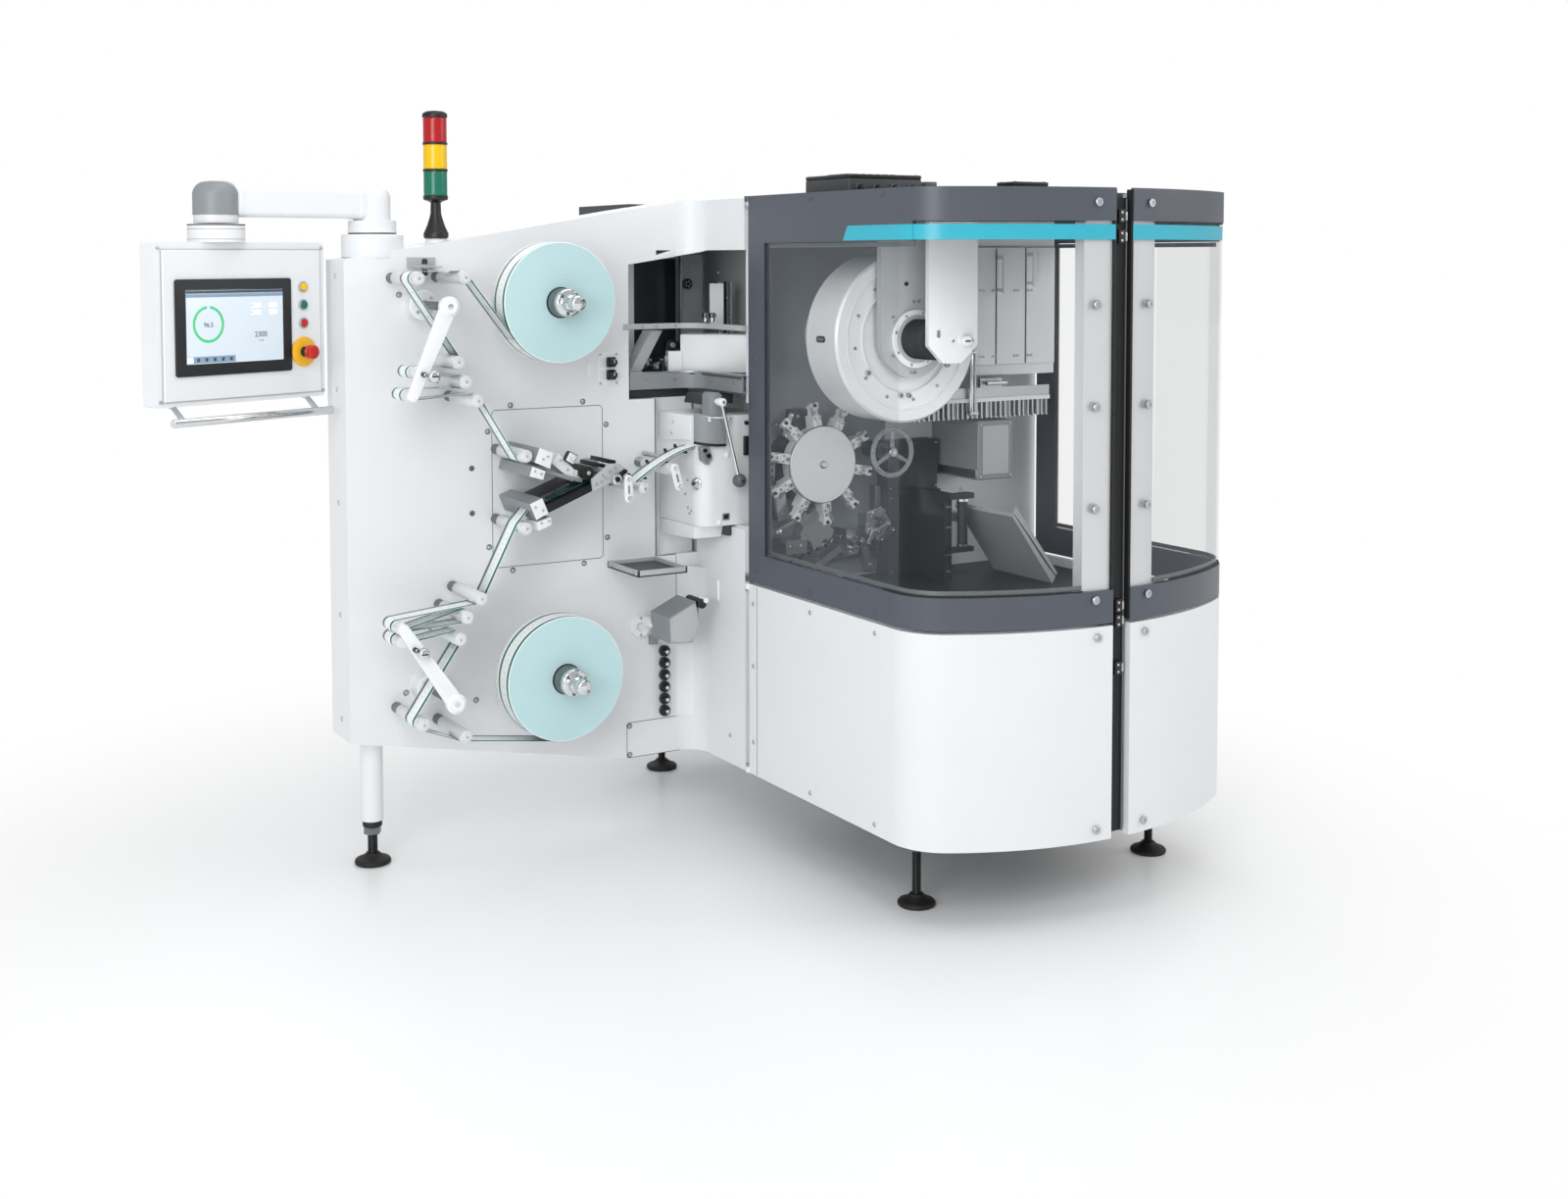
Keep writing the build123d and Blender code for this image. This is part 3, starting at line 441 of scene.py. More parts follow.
def clear_sheet(name, colour, face_alpha, edge_alpha, roughness):
    """Clear plastic: nearly unseen face on, and more and more opaque towards its edges, where its base colour
    shows as a painted reflection beside the sheet's own gloss.
    """
    material = bpy.data.materials.new(name)
    material.use_nodes = True
    tree = material.node_tree
    shader = tree.nodes["Principled BSDF"]
    shader.inputs["Roughness"].default_value = roughness
    shader.inputs["IOR"].default_value = 1.58
    place = add_node(tree, "TexCoord").outputs["Object"]
    slow = add_node(tree, "TexNoise", {"Vector": place, "Scale": 3.0, "Detail": 2.0})
    base = linear(colour)
    dark = tuple(c * 0.94 for c in base[:3]) + (1.0,)
    mixed = add_node(tree, "Mix", {0: slow.outputs["Fac"], 6: dark, 7: base}, data_type="RGBA")
    tree.links.new(mixed.outputs[2], shader.inputs["Base Color"])
    facing = add_node(tree, "LayerWeight", {"Blend": 0.22}).outputs["Fresnel"]
    # Alpha grows at a slant, so the base colour there stands in for reflection: painted reflection
    alpha = add_node(tree, "MapRange", {"Value": facing, "To Min": face_alpha, "To Max": edge_alpha})
    tree.links.new(alpha.outputs[0], shader.inputs["Alpha"])
    return material


# Polycarbonate guard sheet, 6 mm: clear, with a faint grey tint; at a slant its grey base colour shows as a
# painted reflection beside the real gloss
polycarbonate = clear_sheet("polycarbonate_clear", "#7d848b", 0.02, 0.22, 0.03)
# Acrylic of the crank wheel: the same sheet, its pale base colour a painted reflection at a slant
acrylic = clear_sheet("acrylic_clear", "#e4ebee", 0.25, 0.95, 0.05)

white_anodised = surface(
    "anodised_aluminium_white", "#e3e5e6", 0.3, metallic=0.35, grain_mm=0.9, grain=0.04, tone=0.02,
)
# Dark satin plate, half metallic: painted shade, set on the wrapping body and the sheet behind the access
# chamber where the machine's inside lies in shade
shade_dark_plate = surface("dark_satin_plate_painted_shade", "#4a4c50", 0.3, metallic=0.7, grain_mm=1.0, grain=0.05)
bright_white = surface(
    "enamel_white_machined", "#e9ebed", 0.3, metallic=0.12, grain_mm=1.1, grain=0.05, tone=0.03,
)


def lens(name, colour, glow):
    """A tinted lens lit faintly from within."""
    material = surface(name, colour, 0.22, grain_mm=1.0, grain=0.04, tone=0.02)
    shader = material.node_tree.nodes["Principled BSDF"]
    shader.inputs["Emission Color"].default_value = linear(colour)
    shader.inputs["Emission Strength"].default_value = glow
    return material


green_lens = lens("lens_green", "#0a6e58", 0.12)
yellow_lens = lens("lens_yellow", "#e3b800", 0.14)
red_lens = lens("lens_red", "#a80f18", 0.12)
display_dark = lens("display_slate", "#3d4d5e", 0.25)
display_blue = lens("display_blue_grey", "#7d93a8", 0.3)
display_green = lens("display_green", "#46b978", 0.4)
display_pale = lens("display_pale_grey", "#c6d0d9", 0.35)
display_white = lens("display_white", "#eef3f6", 0.5)
screen_glass = surface("glass_screen", "#2a3037", 0.08, grain_mm=4.0, grain=0.005, tone=0.01)


# The print on the film, in metres: the web's middle in depth, the teal line's two edges from it, the
# marks' pitch along the film and half their width
PRINT_MIDDLE, LINE_FROM, LINE_TO, MARK_PITCH, MARK_REACH = (332.3 - 160) / 1000, 0.0225, 0.0345, 0.021, 0.0035


def printed():
    """Film printed in register: a teal line along each edge and a dashed row of marks between them.

    The lines stand at fixed distances across the web, so the shader reads them from the object's depth Y;
    the marks repeat along X and Z by the two directions' sum."""
    material = surface("printed_wrapping_film", "#f4f8f8", 0.24, grain_mm=2.5, grain=0.03, tone=0.01)
    tree = material.node_tree
    shader = tree.nodes["Principled BSDF"]
    plain = shader.inputs["Base Color"].links[0].from_socket
    place = add_node(tree, "SeparateXYZ", {0: add_node(tree, "TexCoord").outputs["Object"]})
    across = add_node(tree, "Math", {0: place.outputs["Y"], 1: PRINT_MIDDLE}, operation="SUBTRACT").outputs[0]
    reach = add_node(tree, "Math", {0: across}, operation="ABSOLUTE").outputs[0]
    inner = add_node(tree, "Math", {0: reach, 1: LINE_FROM}, operation="GREATER_THAN").outputs[0]
    outer = add_node(tree, "Math", {0: reach, 1: LINE_TO}, operation="LESS_THAN").outputs[0]
    line = add_node(tree, "Math", {0: inner, 1: outer}, operation="MULTIPLY").outputs[0]
    along = add_node(tree, "Math", {0: place.outputs["X"], 1: place.outputs["Z"]}, operation="ADD").outputs[0]
    turns = add_node(tree, "Math", {0: along, 1: 2 * pi / MARK_PITCH}, operation="MULTIPLY").outputs[0]
    wave = add_node(tree, "Math", {0: turns}, operation="SINE").outputs[0]
    spot = add_node(tree, "Math", {0: wave, 1: 0.93}, operation="GREATER_THAN").outputs[0]
    narrow = add_node(tree, "Math", {0: reach, 1: MARK_REACH}, operation="LESS_THAN").outputs[0]
    dots = add_node(tree, "Math", {0: spot, 1: narrow}, operation="MULTIPLY").outputs[0]
    faint = add_node(tree, "Math", {0: dots, 1: 0.45}, operation="MULTIPLY").outputs[0]
    print_share = add_node(tree, "Math", {0: line, 1: faint}, operation="MAXIMUM").outputs[0]
    inked = add_node(tree, "Mix", {0: print_share, 6: plain, 7: linear("#0b6b5e")}, data_type="RGBA")
    tree.links.new(inked.outputs[2], shader.inputs["Base Color"])
    return material


printed_film = printed()
# The same clear film over the splicer's black tray: it takes the tray's darkness and keeps a teal gloss
film_on_black = surface(
    "clear_film_over_black", "#0f3a36", 0.16, grain_mm=3.0, grain=0.02, tone=0.2, tone_mm=40,
)

CAD_FINISHES = {
    powder_white: (
        "film_wall corner_wall side_panel back_doors left_leg arm_base panel_arm panel_box gear_housing "
        "left_skirt right_skirt feed_cabinet"
    ),
    # The core cabinet and the feed hood take the shaded copy of the white: painted shade
    powder_white_shaded: "core_cabinet feed_hood",
    powder_slate: "left_guard_frame right_guard_frame guard_roof",
    powder_dark: "chamber_housing machine_bed roof_boxes lower_housing",
    powder_pale_grey: "splicer_covers wall_fittings drum_column outfeed_chute",
    # The wrapping body takes the dark plate: painted shade of the inside behind the drum
    shade_dark_plate: "wrapping_body",
    powder_mid_grey: "control_box chamber_fittings arm_cap",
    black_steel: "front_post machine_feet splicer_frame",
    satin_steel: "hinge_pins film_guide feed_table folding_stations",
    chrome: "hand_lever",
    anodised: "gripper_wheel",
    white_anodised: "left_guard_stile right_guard_stile",
    black_abs: "wall_controls",
    bright_white: "feed_drum wrapping_head",
    black_rubber: "drum_bellows",
    polycarbonate: "left_guard_window right_guard_window",
    acrylic: "hand_wheel",
}
for material, names in CAD_FINISHES.items():
    for name in names.split():
        NODES[name].data.materials.clear()
        NODES[name].data.materials.append(material)


# Film path

FILM_FRONT, FILM_BACK = -197.0, -123.0
UPPER_REEL = (546, 1565, 166)
LOWER_REEL = (555, 518, 174)
UPPER_PIVOT, LOWER_PIVOT = (204, 1560), (211, 505)
UPPER_DANCER = ((120, 1388), (103, 1328))
LOWER_DANCER = ((70, 682), (70, 717))
FIXED_ROLLERS = (
    (260, 1636), (131, 1634), (238, 1411), (259, 1358), (292, 1306),
    (296, 773), (256, 726), (235, 669), (130, 452), (249, 404),
    (430, 1150), (428, 952), (880, 1086), (787, 1037),
)
ROLLER, DANCER_ROLLER = 18.0, 16.5
FILM_THICKNESS = 0.0003  # metres, as drawn


def wound_film(name, x, z, radius, body, node):
    """A reel: a ring whose faces are the wound edges and whose rim is the printed film."""
    core = 43  # the radius of the wound film's bore
    reel = Piece(name, body, "film", [film_edge, printed_film])
    rim = (
        (radius - 2, FILM_FRONT), (radius, FILM_FRONT + 1), (radius, FILM_BACK - 1), (radius - 2, FILM_BACK),
    )
    bore = ((core, FILM_BACK), (core, FILM_FRONT))
    reel.lathe(rim, x, z, 1, 128, open_ends=True)
    reel.lathe(bore, x, z, 0, 64, open_ends=True)
    steps = np.linspace(core, radius - 2, 28)
    front = [(r, FILM_FRONT + 0.3 * (k % 3 == 1)) for k, r in enumerate(steps)]
    back = [(r, FILM_BACK - 0.3 * (k % 3 == 1)) for k, r in enumerate(steps)][::-1]
    reel.lathe(front, x, z, 0, 128, open_ends=True)
    reel.lathe(back, x, z, 0, 128, open_ends=True)
    reel.make(node)


def spindle(name, x, z, radius, body, node):
    """The reel's flange, its clamping chuck and the stepped chrome nose."""
    piece = Piece(name, body, "chrome", [chrome, dark_anodised, white_abs, black_abs])
    flange = (
        (radius, FILM_BACK + 1), (radius + 2, FILM_BACK + 2), (radius + 2, FILM_BACK + 7),
        (radius, FILM_BACK + 8),
    )
    piece.lathe(flange, x, z, 2, 96)
    piece.rod(x, z, FILM_BACK + 8, -20, 26, kind=1)
    core = ((42, FILM_FRONT - 3), (42.8, FILM_FRONT - 2), (42.8, FILM_BACK + 1), (42, FILM_BACK + 2))
    piece.lathe(core, x, z, 3, 64)
    chuck = ((37, -245), (39, -242), (39, -206), (40, -204), (40, FILM_FRONT), (39, FILM_FRONT + 1))
    piece.lathe(chuck, x, z, 1, 64)
    cap = ((33, -256), (37, -254), (39, -250), (39, -243), (37, -241))
    piece.lathe(cap, x, z, 0, 64)
    nose = (
        (15, -320), (20, -317), (22, -312), (22, -296), (18, -292), (18, -282), (24, -276), (26, -268),
        (26, -255),
    )
    piece.lathe(nose, x, z, 0, 48)
    for turn in (20, 140, 260):
        place = round_place((x, 0, z), 30, turn)[::2]
        piece.lathe(((4.5, -259), (5, -258), (5, -254)), *place, 1, 16)
    piece.make(node)


def belt_line(stops, steps=14):
    """A belt's centre line round its rollers, in X and Z.

    Between two rollers it is their common tangent: its normal n satisfies (c2 - c1).n = s1 r1 - s2 r2.
    Round a roller it is an arc from one normal to the next, clockwise where the film is on its left."""
    centres = np.array([stop[:2] for stop in stops], float)
    signed = np.array([stop[2] * stop[3] for stop in stops], float)
    along = np.diff(centres, axis=0)
    normal = np.arctan2(along[:, 1], along[:, 0]) + np.arccos(-np.diff(signed) / np.hypot(*along.T))
    line = []
    for i, (centre, reach) in enumerate(zip(centres, signed)):
        arrive = normal[max(i - 1, 0)]
        leave = normal[min(i, len(normal) - 1)]
        turn = (leave - arrive + pi) % (2 * pi) - pi
        if reach > 0 and turn > 0.05:
            turn -= 2 * pi
        if reach < 0 and turn < -0.05:
            turn += 2 * pi
        angles = arrive + turn * np.linspace(0, 1, steps)
        line.append(centre + reach * unit(angles))
    line = np.concatenate(line)
    return line[np.r_[True, np.linalg.norm(np.diff(line, axis=0), axis=1) > 0.3]]


def film_web(name, stops, dancer=None, finish=printed_film):
    """The printed film: the belt line made as wide as the reel, in short lengths if it follows a dancer."""
    line = belt_line(stops) if len(stops[0]) == 4 else np.asarray(stops, float)
    if dancer:
        fine = [
            np.linspace(a, b, max(2, int(hypot(*(b - a)) / 12)), endpoint=False)
            for a, b in zip(line, line[1:])
        ]
        line = np.concatenate(fine + [line[-1:]])
    columns = 4
    across = np.linspace(FILM_FRONT, FILM_BACK, columns)
    points = np.stack(
        (
            np.repeat(line[:, :1], columns, 1), np.tile(across, (len(line), 1)),
            np.repeat(line[:, 1:], columns, 1),
        ),
        -1,
    ).reshape(-1, 3)
    row, column = np.meshgrid(np.arange(len(line) - 1), np.arange(columns - 1), indexing="ij")
    first = (row * columns + column).ravel()
    faces = np.stack((first, first + 1, first + columns + 1, first + columns), -1).tolist()
    piece = Piece(name, "machine", "film", [finish])
    piece.add((points, faces, []), axes=ABOVE)
    made = piece.make()
    if dancer:
        made.parent = None
        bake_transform(made)
    solid = made.modifiers.new("thickness", "SOLIDIFY")
    solid.thickness = FILM_THICKNESS


def wall_rollers():
    """Fourteen guide rollers on ribbed stub axles, each with a cap and a screw on its end."""
    end = -46  # where the stub axle meets its roller
    piece = Piece("film_guide_rollers", "machine", "aluminium", [white_anodised, dark_anodised, satin_steel])
    ribs = [(14.6 - 0.7 * (k % 2), end + 4 * k) for k in range(1, 11)]
    stub = [(14.2, end), *ribs, (14.6, -2), (14.6, 0)]
    tube = (
        (13, -222), (16.5, -222), (17.6, -220.5), (17.6, -200), (17.9, -199), (17.9, -48), (17, end),
        (12, end),
    )
    for x, z in FIXED_ROLLERS:
        piece.lathe(stub, x, z, 1, 24)
        piece.lathe(tube, x, z)
        piece.lathe(((7, -227.5), (11.5, -226.5), (12, -225), (12, -221)), x, z, 0, 24)
        piece.lathe(((2.5, -228), (4.2, -227.8), (4.5, -226)), x, z, 2, 12)
    piece.make("guide_rollers")


def dancer_arm(name, pivot, rollers, knob, side, body, node):
    """The swinging arm: a flat bar tapering from its hub, two film rollers and a chrome clamp knob."""
    piece = Piece(
        name, body, "white_paint", [powder_white_gloss, white_anodised, chrome, black_abs, dark_anodised],
    )
    far = rollers[-1]
    piece.front(link_outline(pivot, far, 23, 15), -251, -237, 2.5)
    x, z = pivot
    hub = ((6, -257), (7, -260), (19, -260), (21, -257), (24, -256), (27, -253), (27, -238), (25, -236))
    piece.lathe(hub, x, z, 0, 40)
    piece.lathe(((4, -260.5), (8, -260), (8, -256)), x, z, 2, 20)
    piece.rod(x, z, -236, -20, 12, kind=4)
    for roller in rollers:
        piece.rod(*roller, -237, -118, DANCER_ROLLER, edge=2, kind=1)
    head = ((12, -282), (14.5, -280), (15.5, -277), (15.5, -262), (13, -259), (13, -251))
    piece.lathe(head, knob[0], knob[1], 2)
    piece.box(knob[0] - 9, knob[0] + 9, -283.5, -281, knob[1] - 2, knob[1] + 2, 0.5, kind=3)
    piece.rod(*side, -264, -250, 6.5, kind=3)
    piece.rod(*side, -266, -263, 3.5, kind=2)
    piece.make(node)


def bearing_housings():
    """Cast bearing rings on the wall behind the reels and the dancers, with cooling ribs."""
    piece = Piece("bearing_housings", "machine", "steel", [powder_white_gloss, dark_anodised, satin_steel])
    for x, z, _ in (UPPER_REEL, LOWER_REEL):
        ring = ((27, -44), (44, -44.5), (47, -42), (48, -38), (48, -6), (48, 0), (27, 0))
        piece.lathe(ring, x, z, 0, 56, hollow=True)
    for x, z in (UPPER_PIVOT, LOWER_PIVOT):
        ribs = [(41.5 - 1.8 * (k % 2), -58 + 6 * k) for k in range(9)]
        ring = [(13, -61), (36, -61.5), (40, -60)] + ribs + [(41.5, -2), (41.5, 0), (13, 0)]
        piece.lathe(ring, x, z, 0, 56, hollow=True)
        for turn in (45, 135, 225, 315):
            place = round_place((x, 0, z), 27, turn)[::2]
            piece.lathe(((2.5, -63), (4.5, -62.5), (5, -61)), *place, 2, 12)
    piece.make("wall_bearings")


wound_film("upper_film_reel", *UPPER_REEL, "upper_reel", "upper_reel_film")
wound_film("lower_film_reel", *LOWER_REEL, "lower_reel", "lower_reel_film")
spindle("upper_spindle", *UPPER_REEL, "upper_reel", "upper_reel_spindle")
spindle("lower_spindle", *LOWER_REEL, "lower_reel", "lower_reel_spindle")
wall_rollers()
bearing_housings()
dancer_arm(
    "upper_dancer_bar", UPPER_PIVOT, UPPER_DANCER, (152, 1380), (129, 1385), "upper_dancer_arm",
    "upper_dancer",
)
dancer_arm(
    "lower_dancer_bar", LOWER_PIVOT, LOWER_DANCER, (115, 654), (97, 664), "lower_dancer_arm", "lower_dancer",
)

# The web in six spans. Each stop is a roller's place, its radius with the film on it, and the side of
# the film's travel on which the film lies: 1 left of the roller's centre, -1 right of it.
ON, BAR = ROLLER + 0.2, DANCER_ROLLER + 0.2
film_web(
    "upper_film_feed",
    [(*UPPER_REEL[:2], 165.8, 1), (260, 1636, ON, -1), (131, 1634, ON, -1), (238, 1411, ON, 1)],
)
film_web(
    "upper_film_store",
    [
        (238, 1411, ON, 1), (*UPPER_DANCER[0], BAR, -1), (259, 1358, ON, 1), (*UPPER_DANCER[1], BAR, -1),
        (292, 1306, ON, 1),
    ],
    ("upper_dancer_arm", (225, 0, 1360), (130, 0, 1360)),
)
film_web(
    "upper_film_run", [(292, 1306, ON, 1), (430, 1150, ON, -1), (500, 1110, 3, -1)],
)
film_web(
    "lower_film_feed",
    [(*LOWER_REEL[:2], 173.8, 1), (249, 404, ON, 1), (130, 452, ON, 1), (235, 669, ON, -1)],
)
film_web(
    "lower_film_store",
    [
        (235, 669, ON, -1), (*LOWER_DANCER[0], BAR, 1), (256, 726, ON, -1), (*LOWER_DANCER[1], BAR, 1),
        (296, 773, ON, -1),
    ],
    ("lower_dancer_arm", (225, 0, 700), (90, 0, 700)),
)
film_web("lower_film_run", [(296, 773, ON, -1), (428, 952, ON, 1), (455, 1004, 3, 1)])


# Guard doors

SIDE_X, MIDDLE_X, BACK_Y, GAP = 1075.0, 1606.0, -312.0, 58.0
CORNER_RADIUS, FRONT_RADIUS = 150.0, 905.0
CORNER = np.array((SIDE_X + CORNER_RADIUS, -1031.8))
FRONT_CENTRE = np.array((MIDDLE_X, -380.0))
MEET = radians(239.72)  # where the corner's arc meets the front's
SIDE_RUN = BACK_Y - CORNER[1]
CORNER_RUN = CORNER_RADIUS * (MEET - pi)
FRONT_RUN = FRONT_RADIUS * (1.5 * pi - MEET)
DOOR_RUN = SIDE_RUN + CORNER_RUN + FRONT_RUN - GAP / 2
STEP_RUN = SIDE_RUN + CORNER_RADIUS * asin(60 / CORNER_RADIUS) + 0.6  # where the side's deep head band ends


def door_line(run, inset, right=False):
    """Places on the guard's outline from above, by the distance from its hinge edge, and the outward normals.

    It is straight along the side, an arc of 150 mm round the corner and one of 905 mm over the front."""
    run = np.atleast_1d(np.asarray(run, float))
    around = np.where(run < SIDE_RUN, pi, pi + (run - SIDE_RUN) / CORNER_RADIUS)
    across = MEET + (run - SIDE_RUN - CORNER_RUN) / FRONT_RADIUS
    in_front = run > SIDE_RUN + CORNER_RUN
    angle = np.where(in_front, across, around)
    normal = unit(angle)
    centre = np.where(in_front[:, None], FRONT_CENTRE, CORNER)
    reach = np.where(in_front, FRONT_RADIUS, CORNER_RADIUS)[:, None] - np.reshape(inset, (-1, 1))
    place = centre + reach * normal
    place[:, 1] += np.where(run < SIDE_RUN, SIDE_RUN - run, 0)
    if right:
        place = place * (-1, 1) + (2 * MIDDLE_X, 0)
        normal = normal * (-1, 1)
    return place, normal


def door_strip(start, end, low, high, outer, inner, right, slant=0.0):
    """A band that follows the door's curve: a four-cornered ring of points carried along the outline."""
    runs = np.unique(np.r_[start, end, np.linspace(SIDE_RUN, DOOR_RUN, 60), STEP_RUN, STEP_RUN + 0.8])
    runs = runs[(runs >= start) & (runs <= end)]
    out = np.where(runs <= STEP_RUN, min(outer, -0.25), outer) if slant else np.full(len(runs), outer)
    front, _ = door_line(runs, out, right)
    back, _ = door_line(runs, inner, right)
    top, _ = door_line(np.where(runs == start, runs + slant, runs), out, right)
    top_back, _ = door_line(np.where(runs == start, runs + slant, runs), inner, right)
    rings = np.stack(
        [
            np.column_stack((place, np.full(len(runs), z)))
            for place, z in ((front, low), (top, high), (top_back, high), (back, low))
        ],
        1,
    )
    points = rings.reshape(-1, 3)
    faces = ring_faces(len(runs), 4)
    last = (len(runs) - 1) * 4
    caps = [[3, 2, 1, 0], [last, last + 1, last + 2, last + 3]]
    if not right:
        faces = [face[::-1] for face in faces]
        caps = [cap[::-1] for cap in caps]
    return points, faces, caps


def on_door(piece, run, z, profile, right, kind, inset=0.0, steps=20):
    """Seats a turned shape on the door's outside, its axis along the outward normal."""
    place, normal = door_line(run, inset, right)
    axes = axes_towards((*normal[0], 0))
    piece.add(turned(profile, steps), (*place[0], z), axes, kind)


def door_details(side, right):
    """A door's screws, seals, inner profile and cyan stripe, and the rubber edge towards the other door."""
    body = side + "_guard"
    grey = Piece(
        side + "_door_fittings", body, "chrome", [satin_steel, powder_slate, black_rubber, dark_anodised],
    )
    for z, inset in ((1824, 0), (1568, 3), (1311, 3), (1054, 3), (824, 0)):
        on_door(grey, DOOR_RUN - 58, z, CAP_SCREW, right, 0, inset)
        if inset:
            on_door(grey, DOOR_RUN - 58, z, ((13.0, 0.0), (13.0, 1.2), (6.0, 1.4)), right, 0, inset)
    for run, z in ((330, 1845), (668, 1845), (330, 783), (640, 783), (40, 800), (40, 1400)):
        on_door(grey, run, z, BUTTON_SCREW, right, 1)
    # The seal between the sheet and its frame, and the thin profile round the sheet's inside
    last = DOOR_RUN - 92
    for start, end, low, high, outer, inner, kind in (
        (SIDE_RUN - 50, last, 846, 849, 1.6, 3.2, 2), (STEP_RUN + 4, last, 1774, 1777, 1.6, 3.2, 2),
        (90, 93, 850, 1725, 1.6, 3.2, 2), (92, last, 849, 861, 9.2, 13, 3),
        (STEP_RUN + 4, last, 1757, 1768, 9.2, 13, 3), (92, 104, 861, 1716, 9.2, 13, 3),
        (92, STEP_RUN, 1714, 1726, 9.2, 13, 3),
    ):
        grey.add(door_strip(start, end, low, high, outer, inner, right), axes=ABOVE, kind=kind)
    grey.make()
    stripe = Piece(side + "_door_stripe", body, "grey_paint", [cyan_vinyl])
    stripe.add(door_strip(489, DOOR_RUN, 1731, 1769, 2.7, 2.95, right, slant=22.0), axes=ABOVE)
    stripe.make()
    edge = Piece(side + "_door_edge", body, "black_plastic", [black_rubber, satin_steel])
    edge.add(door_strip(DOOR_RUN - 2.5, DOOR_RUN + 4.5, 765, 1857, 4, 22, right), axes=ABOVE)
    edge.make()


def skirt_details(side, right):
    """The lower door's screws and its seal."""
    piece = Piece(
        side + "_skirt_fittings", side + "_skirt_door", "steel", [satin_steel, powder_white, black_rubber],
    )
    for z in (700, 520, 300):
        on_door(piece, 26, z, BUTTON_SCREW, right, 0)
    for run, z in ((330, 728), (640, 728), (330, 232), (640, 232)):
        on_door(piece, run, z, BUTTON_SCREW, right, 0)
    for z in (728, 236):
        on_door(piece, DOOR_RUN - 50, z, CAP_SCREW, right, 0)
    piece.add(door_strip(44, 45.5, 207, 752, -0.4, 0.5, right), axes=ABOVE, kind=2)
    piece.make()


for side, right in (("left", False), ("right", True)):
    door_details(side, right)
    skirt_details(side, right)


def post_latches():
    """Locks on the post between the doors, each a steel keeper and a black switch, and the post's edges."""
    piece = Piece("post_latches", "machine", "black_plastic", [black_abs, satin_steel, dark_anodised])
    front = -1266
    for z in (1790, 1738, 800, 762, 640):
        piece.box(MIDDLE_X - 14, MIDDLE_X + 8, front - 13, front + 2, z - 17, z + 17, 2)
        piece.box(MIDDLE_X + 8, MIDDLE_X + 17, front - 9, front + 2, z - 11, z + 11, 1, kind=1)
        piece.rod(MIDDLE_X - 5, z + 9, front - 15, front - 12, 3.5, kind=1)
        piece.rod(MIDDLE_X - 5, z - 9, front - 15, front - 12, 3.5, kind=1)
    piece.box(MIDDLE_X - 20, MIDDLE_X - 16, front - 5, front + 2, 215, 1834, 0.8, kind=2)
    piece.box(MIDDLE_X + 16, MIDDLE_X + 20, front - 5, front + 2, 215, 1834, 0.8, kind=2)
    piece.make()


post_latches()


# Signal lamp and control panel


def stack_lamp():
    """Three coloured lenses between black rings on a flared stem, over a white socket."""
    piece = Piece(
        "signal_lamp", "machine", "lamp_plastic",
        [black_abs, green_lens, yellow_lens, red_lens, powder_white],
    )
    at = (291, 80, 0)
    stem = [
        (30, 1742), (34, 1744), (35, 1756), (33, 1760), (25, 1778), (18, 1800), (15, 1812), (14, 1842),
        (20, 1846), (33, 1850),
    ]
    piece.add(turned(stem + [(34, 1852), (34, 1858)], 40), at, ABOVE, 0)
    for kind, low in ((1, 1858), (2, 1932), (3, 2006)):
        ribs = [(32.2 + 0.9 * (k % 2), low + 4 + 66 * k / 16) for k in range(17)]
        piece.add(turned([(30, low)] + ribs + [(32, low + 72), (30, low + 74)], 48), at, ABOVE, kind)
        piece.add(turned(((33, low - 3), (34.6, low - 2), (34.6, low + 3), (33, low + 4)), 48), at, ABOVE, 0)
    top = [(33, 2078), (34.8, 2080), (34.8, 2087), (33, 2091), (26, 2096), (10, 2098)]
    piece.add(turned(top, 48), at, ABOVE, 0)
    socket = [(30, 1700), (30, 1738), (28, 1742)]
    piece.add(turned(socket, 40), at, ABOVE, 4)
    piece.make("stack_light")


# The panel's own directions: X across its front, Y into it
PANEL_TURN = radians(23)
PANEL_X = np.array((cos(PANEL_TURN), sin(PANEL_TURN), 0))
PANEL_Y = np.array((-sin(PANEL_TURN), cos(PANEL_TURN), 0))
PANEL = np.array((PANEL_X, Z, PANEL_Y))
PIVOT = np.array((-338.0, -15.0, 0.0))
PANEL_AT = PIVOT + 57 * PANEL_X - 30.5 * PANEL_Y


def panel_place(x, z, y=0.0):
    """A place on the panel by its own directions."""
    return PANEL_AT + x * PANEL_X + y * PANEL_Y + (0, 0, z)


def panel_slab(piece, outline, centre, y0, y1, edge=1.5, kind=0):
    """A plate on the panel, its outline placed by its centre."""
    piece.add(slab(np.asarray(outline) + centre, y0, y1, edge), PANEL_AT, PANEL, kind)


